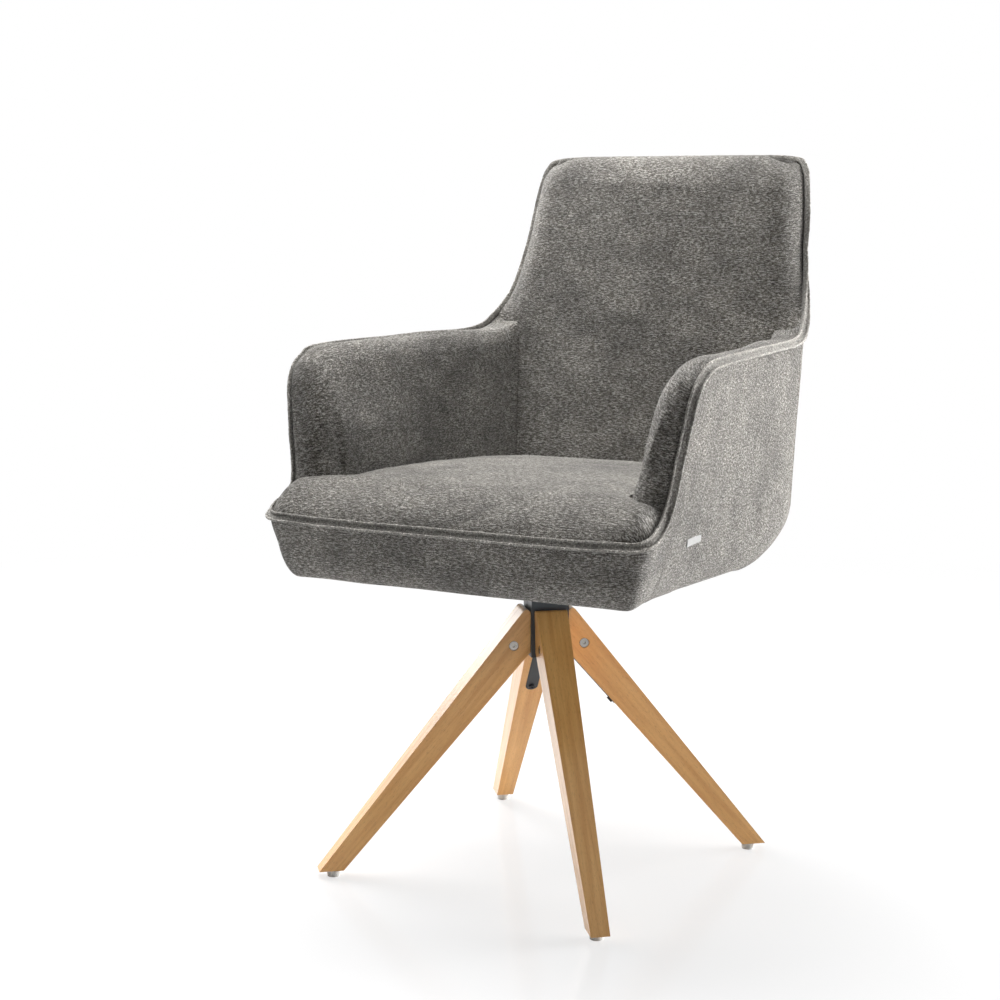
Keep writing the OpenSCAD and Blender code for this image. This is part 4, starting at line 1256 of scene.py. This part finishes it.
@dataclass
class BackPad(SoftPart):
    """The padding of the back: crowned forwards, with edges rolled back to the welt."""

    crown: float = 9.0
    roll: float = 36.0
    top_rise: float = 11.0
    rows: int = 92
    cols: int = 72
    skin_depth: float = 3.7
    frame_depth: float = 17.7
    hidden_at: float = 12.0
    hidden_top: float = 715.0
    gap: float = 0.12
    cap: float = 4.0
    creases: tuple = ((1.5, 100.0, 7.7), (0.6, 40.0, 0.4))
    cloth_at: float = 5.1

    def edge_station(self, z: float) -> float:
        """Station of the hidden rear's side edge at a height."""
        knots = self.shell.knots()[10:17]
        return max(self.hidden_at, float(np.interp(z + 7, knots[:, 2], np.arange(10, 17))))

    def edge(self, z: Array) -> tuple[Array, Array]:
        """Half-width and depth of the pad's visible side edge.

        Args:
            z: Heights.

        Returns:
            The half-widths and the depths, one for each height.
        """
        s = self.shell
        fine = s.rim(np.linspace(s.rear_seam, s.end, 800))
        x, y = (np.interp(z, fine[:, 2], fine[:, axis]) for axis in range(2))
        held = np.minimum(z, self.hidden_top)
        hidden = s.under(np.full_like(z, self.hidden_at), held, np.full_like(z, 6.0))
        show = smooth((z - 664) / 18)
        far_x, far_y = hidden[:, 0], hidden[:, 1]
        return far_x + (x - 1.2 - far_x) * show, far_y - 4 + (y - 1.4 - far_y + 4) * show

    def rear(self, z: float) -> Array:
        """Points of the pad's rear from its left edge to its middle.

        Args:
            z: The height.

        Returns:
            Points, one row each.
        """
        s = self.shell
        first = self.edge_station(z)
        frame_edge = 12 + 3.4 * float(smooth((z - 12 - s.arm_top + 58) / 64))
        second = max(first + self.gap, frame_edge - 0.15)
        depth = self.skin_depth + 1 if second > first + self.gap else self.frame_depth + 1.8
        u = np.concatenate([np.linspace(first, second, 4), np.linspace(second + self.gap, s.end, 8)])
        return s.under(u, np.full_like(u, z), np.repeat([depth, self.frame_depth + 2.6], [4, 8]))

    def loop(self, z: float, half: float, edge_y: float) -> Array:
        """Points round the pad at a height, the front's first.

        Args:
            z: The height.
            half: Half-width of the front there.
            edge_y: Y of its side edge there.

        Returns:
            Points, one row each.
        """
        s = self.shell
        c = -np.cos(np.linspace(0, math.pi, self.cols + 1))
        x = half * c
        rear = self.rear(float(min(z, s.back_top - 3)))
        rolled = float(smooth((z - s.arm_top + 4) / 46))
        side = 1 - rolled + rolled * swell(half - np.abs(x), self.roll)
        middle = float(s.under(np.array(float(s.end)), np.array(float(z)), np.array(1.4))[1])
        behind = edge_y + (middle - edge_y) * (1 - c * c)
        inner = float(s.arm_x(s.face_y(z), z)) - s.arm_t - 2
        seam = np.minimum(1, np.abs(x) / inner)
        face = s.face_y(z) - self.crown * (1 - seam * seam)
        k = side * swell(s.back_top - z, self.roll)
        y = np.minimum(behind, behind + (face - behind) * k)
        over = self.top_rise * np.sin(math.pi * clamp(k)) * smooth((half - np.abs(x) - 6) / 40)
        front = np.stack([x, y, z + over * smooth((z - s.back_top + 40) / 30)], axis=-1)
        if z < 700:
            rear[:, 1] = np.maximum(rear[:, 1], front[-1, 1] + 0.3)
        return np.concatenate([front, rear, (rear * MIRROR)[-2::-1]])

    def build(self) -> None:
        """Makes the pad."""
        s = self.shell
        low, high = s.welt_z + 4, s.back_top - 0.6
        heights = low + (high - low) * (1 - (1 - np.linspace(0, 1, self.rows + 1)) ** 1.9)
        halves, edge_ys = self.edge(heights)
        grid = np.array([self.loop(*place) for place in zip(heights, halves, edge_ys)])
        front = grid[:, :self.cols + 1]
        front[..., 1] += smooth((s.back_top - front[..., 2]) / 40) * waves(front, *self.creases)
        up, across = along_column(grid, self.cols // 2), running(grid, 1)
        across = across - across[:, self.cols // 2][:, None]
        cloth = np.stack([across, up, np.full_like(up, self.cloth_at)], axis=-1)
        side = halves[:, None] * (1 - np.abs(np.cos(np.linspace(0, math.pi, self.cols + 1))))[None, :]
        free = np.zeros(grid.shape[:2])
        free[:, :self.cols + 1] = (smooth((side - 6) / 18) * smooth((s.back_top - 6 - front[..., 2]) / 18)
                                   * smooth((front[..., 2] - low - 10) / 30))
        self.stuff(("back_padding", "back_pad"), grid, cloth, free, self.cap)


@dataclass
class HiddenCloth:
    """The soft parts under the seat: the dust cloth, the foam bed and the blank side tag."""

    shell: Shell
    tag_y: float = -104.0
    tag_z: float = 447.0
    tag_w: float = 48.6
    tag_h: float = 10.0
    tag_t: float = 0.25
    foam_edge: float = 6.0

    def copy_of(self, node: str, name: str, material: Material) -> Piece:
        """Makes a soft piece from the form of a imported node, which it stands for.

        Args:
            node: Name of the node.
            name: Name of the piece.
            material: Its material.

        Returns:
            The new piece.
        """
        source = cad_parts[node]
        mesh = source.data.copy()
        mesh.materials.clear()
        mesh.name = name
        piece = new_object(name, mesh)
        piece.matrix_world = source.matrix_world.copy()
        return dress(piece, material, [node])

    def tag(self, material: Material) -> None:
        """Makes the folded tag, caught in the outer cover near the arm's foot.

        Args:
            material: Its material.
        """
        s = self.shell
        fine = np.linspace(4.2, 10.0, 900)
        places = np.linspace(self.tag_y, self.tag_y + self.tag_w, 19)
        u = np.interp(places, s.rim(fine)[:, 1], fine)
        shares = (0.0, 0.15, 0.5, 0.85, 1.0)
        lifts = (0.9, 1.2, 1.6, 1.7, 1.9, 2.4, 2.6, 2.5, 2.1, 1.6)
        rows = []
        for share, lift in zip(shares + shares[::-1], lifts):
            z = np.full_like(u, self.tag_z + self.tag_h * (1 - share))
            rows.append(s.skin(u, z) + s.normal(u, z) * lift)
        grid = np.stack(rows, axis=1)
        grid[..., 2] += waves(grid, (0.25, 9.0, 2.0))
        cloth = np.stack([running(grid, 0), running(grid, 1), np.zeros(grid.shape[:2])], axis=-1)
        piece = sheet_mesh("side_tag_ribbon", grid, cloth)
        add_modifier(piece, "SOLIDIFY", thickness=self.tag_t * MM, offset=0.0)
        dress(piece, material, ["side_tag"])

    def build(self) -> None:
        """Makes the three pieces."""
        dust = Plain(from_srgb(44, 44, 45), 0.95, (1400.0, 1400.0, 900.0), 0.0004).build("underside_cloth")
        cover = self.copy_of("underside_cover", "underside_dust_cloth", dust)
        foam = Plain(from_srgb(226, 214, 176), 0.95, (500.0, 500.0, 500.0), 0.0007).build("foam")
        bed = self.copy_of("base_foam", "foam_bed", foam)
        add_modifier(bed, "BEVEL", width=self.foam_edge * MM, segments=4, limit_method="ANGLE",
                     angle_limit=math.radians(40))
        self.tag(Plain(from_srgb(150, 150, 148), 0.8, (500.0, 2500.0, 2500.0), 0.0003).build("tag_cloth"))


@dataclass
class Carried:
    """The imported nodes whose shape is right: they get finishes and softened edges."""

    leg_turn: float = -5.8
    leg_tilt: float = 50.0

    def finish(self, nodes: Sequence[str], material: Material, edge: float = 0.0) -> None:
        """Gives nodes a material and bevelled edges.

        Args:
            nodes: Names of the nodes.
            material: Their material.
            edge: Width of the bevel, in millimetres, or 0 for none.
        """
        for name in nodes:
            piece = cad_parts[name]
            piece.data.materials.clear()
            piece.data.materials.append(material)
            if edge:
                add_modifier(piece, "BEVEL", width=edge * MM, segments=3, limit_method="ANGLE",
                             angle_limit=math.radians(35), harden_normals=False)
            LOG.info("%s dressed", name)

    def build(self) -> None:
        """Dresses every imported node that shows."""
        tilt = math.radians(self.leg_tilt)
        for k, name in enumerate(("front_left", "rear_left", "rear_right", "front_right")):
            turn = math.radians(self.leg_turn - 45 + 90 * k)
            self.finish([f"leg_{name}"], Beech().build(f"beech_{name}", turn, tilt), 1.2)
        white = Plain(from_srgb(226, 226, 222), 0.5).build("white_plastic")
        self.finish(["foot_glides", "lower_bush", "upper_bush"], white, 0.5)
        dark = Metal(from_srgb(62, 66, 70), 0.2, 0.42).build("painted_steel")
        self.finish(["hub", "leg_straps", "mounting_plate"], dark, 0.6)
        bright = Metal(from_srgb(176, 172, 166), 1.0, 0.24).build("bright_steel")
        self.finish(["leg_bolts", "sleeve_nuts", "lower_race", "upper_race", "bearing_balls", "spindle",
                     "end_washer", "plate_screws", "tee_nuts"], bright, 0.3)
        black = Metal(from_srgb(52, 54, 57), 0.6, 0.35).build("black_steel")
        self.finish(["strap_screws", "retaining_ring"], black, 0.3)
        self.finish(["ball_cage"], Metal(from_srgb(205, 166, 96), 1.0, 0.3).build("cage_brass"))
        ply = Plain(from_srgb(206, 178, 140), 0.7, (30.0, 300.0, 900.0), 0.0003).build("plywood")
        self.finish(["seat_board", "front_rail", "side_rails", "arm_frame_left", "arm_frame_right",
                     "back_frame"], ply)


# Surroundings


@dataclass
class Studio:
    """Pale floor, soft light and the camera at the photograph's view, in metres and degrees.

    The focal share is the lens's focal length over the sensor's width, and the sky is the light of
    the world on the chair. Each lamp has a name, a place, a target, a size and a power in watts.
    """

    eye: tuple = (1.0897, -2.1761, 0.845)
    heading: tuple = (-0.469, 0.883)
    dip: float = 8.71
    sensor: float = 36.0
    focal_share: float = 1.959
    floor_half: float = 14.0
    floor_tone: Colour = (0.7, 0.7, 0.705)
    sky: float = 0.12
    lamps: tuple = (
        ("lamp_right", (1.9, 1.6, 0.6), (0.1, 0.0, 0.5), (1.6, 1.2), 128),
        ("lamp_left", (-2.1, 0.7, 1.4), (0, 0, 0.45), (1.4, 1.6), 58),
        ("lamp_top", (-0.5, 0.42, 2.4), (0, 0, 0.4), (1.5, 1.4), 98),
    )

    def camera(self) -> None:
        """Makes the camera."""
        data = bpy.data.cameras.new("camera")
        put(data, sensor_width=self.sensor, sensor_fit="HORIZONTAL", lens=self.sensor * self.focal_share)
        cam = new_object("camera", data)
        dip = math.radians(self.dip)
        look = Vector((*self.heading, 0)).normalized() * math.cos(dip) - Vector((0, 0, math.sin(dip)))
        cam.location = self.eye
        cam.rotation_euler = look.to_track_quat("-Z", "Y").to_euler()
        bpy.context.scene.camera = cam

    def floor(self) -> None:
        """Makes the floor, which fades to white away from the chair."""
        mesh, size = bpy.data.meshes.new("floor"), self.floor_half
        corners = [(-size, -size, 0), (size, -size, 0), (size, size, 0), (-size, size, 0)]
        mesh.from_pydata(corners, [], [[0, 1, 2, 3]])
        piece = new_object("floor", mesh)
        g = Graph(bpy.data.materials.new("floor_white"))
        away = g.add("VectorMath", {0: g.place()}, operation="LENGTH").outputs["Value"]
        fade = g.remap(away, 0.5, 2.4, 0.68, 1.0)
        share = g.math("MULTIPLY", fade, g.add("LightPath").outputs["Is Camera Ray"])
        diffuse = g.add("BsdfPrincipled", {"Base Color": self.floor_tone, "Roughness": 0.16,
                                           "Specular IOR Level": 0.4})
        glow = g.add("Emission", {"Color": (1, 1, 1), "Strength": 1.0})
        blend = g.add("MixShader", {0: share, 1: diffuse.outputs[0], 2: glow.outputs[0]})
        g.add("OutputMaterial", {"Surface": blend.outputs[0]})
        mesh.materials.append(g.holder)

    def world(self) -> None:
        """Makes the even sky, which the camera and reflections see as white."""
        world = bpy.data.worlds.new("studio")
        bpy.context.scene.world = world
        g = Graph(world)
        rays = g.add("LightPath").outputs
        seen = g.math("MAXIMUM", rays["Is Camera Ray"], rays["Is Glossy Ray"])
        seen = g.math("MAXIMUM", seen, rays["Is Transmission Ray"])
        level = g.remap(seen, 0.0, 1.0, self.sky, 1.0)
        back = g.add("Background", {"Color": (1, 1, 1), "Strength": level})
        g.add("OutputWorld", {0: back.outputs[0]})

    def lamp(self, name: str, place: tuple, target: tuple, size: tuple, power: float) -> None:
        """Makes a soft rectangular lamp.

        Args:
            name: Name of the lamp.
            place: Where it stands, in metres.
            target: The point that it faces.
            size: Width and height, in metres.
            power: Power in watts.
        """
        data = bpy.data.lights.new(name, "AREA")
        put(data, shape="RECTANGLE", size=size[0], size_y=size[1], energy=power)
        lamp = new_object(name, data)
        lamp.location = place
        lamp.rotation_euler = (Vector(target) - Vector(place)).to_track_quat("-Z", "Y").to_euler()

    def build(self) -> None:
        """Makes everything round the chair."""
        self.camera()
        self.floor()
        self.world()
        for lamp in self.lamps:
            self.lamp(*lamp)
        bpy.context.scene.view_settings.view_transform = "Standard"


def main() -> None:
    """Builds the studio and the chair's looks piece by piece."""
    logging.basicConfig(level=logging.INFO, format="%(name)s %(message)s")
    shell = Shell()
    cloth = Chenille().build("chenille")
    # Same chenille as the seat, with its tones painted lighter to offset the shade in the web between the
    # welt's beads.
    welt_cloth = Chenille(
        dark=from_srgb(110, 106, 99), mid=from_srgb(148, 144, 137), light=from_srgb(222, 219, 213),
        slub=(360.0, 360.0, 360.0), tuft=(900.0, 900.0, 900.0), crest=0.3,
    ).build("chenille_welt")
    Studio().build()
    OuterCover(shell, cloth).build()
    DoubleWelt(shell, welt_cloth).build()
    SeatCushion(shell, cloth).build()
    ArmPads(shell, cloth).build()
    BackPad(shell, cloth).build()
    HiddenCloth(shell).build()
    Carried().build()


if __name__ == "__main__":
    main()
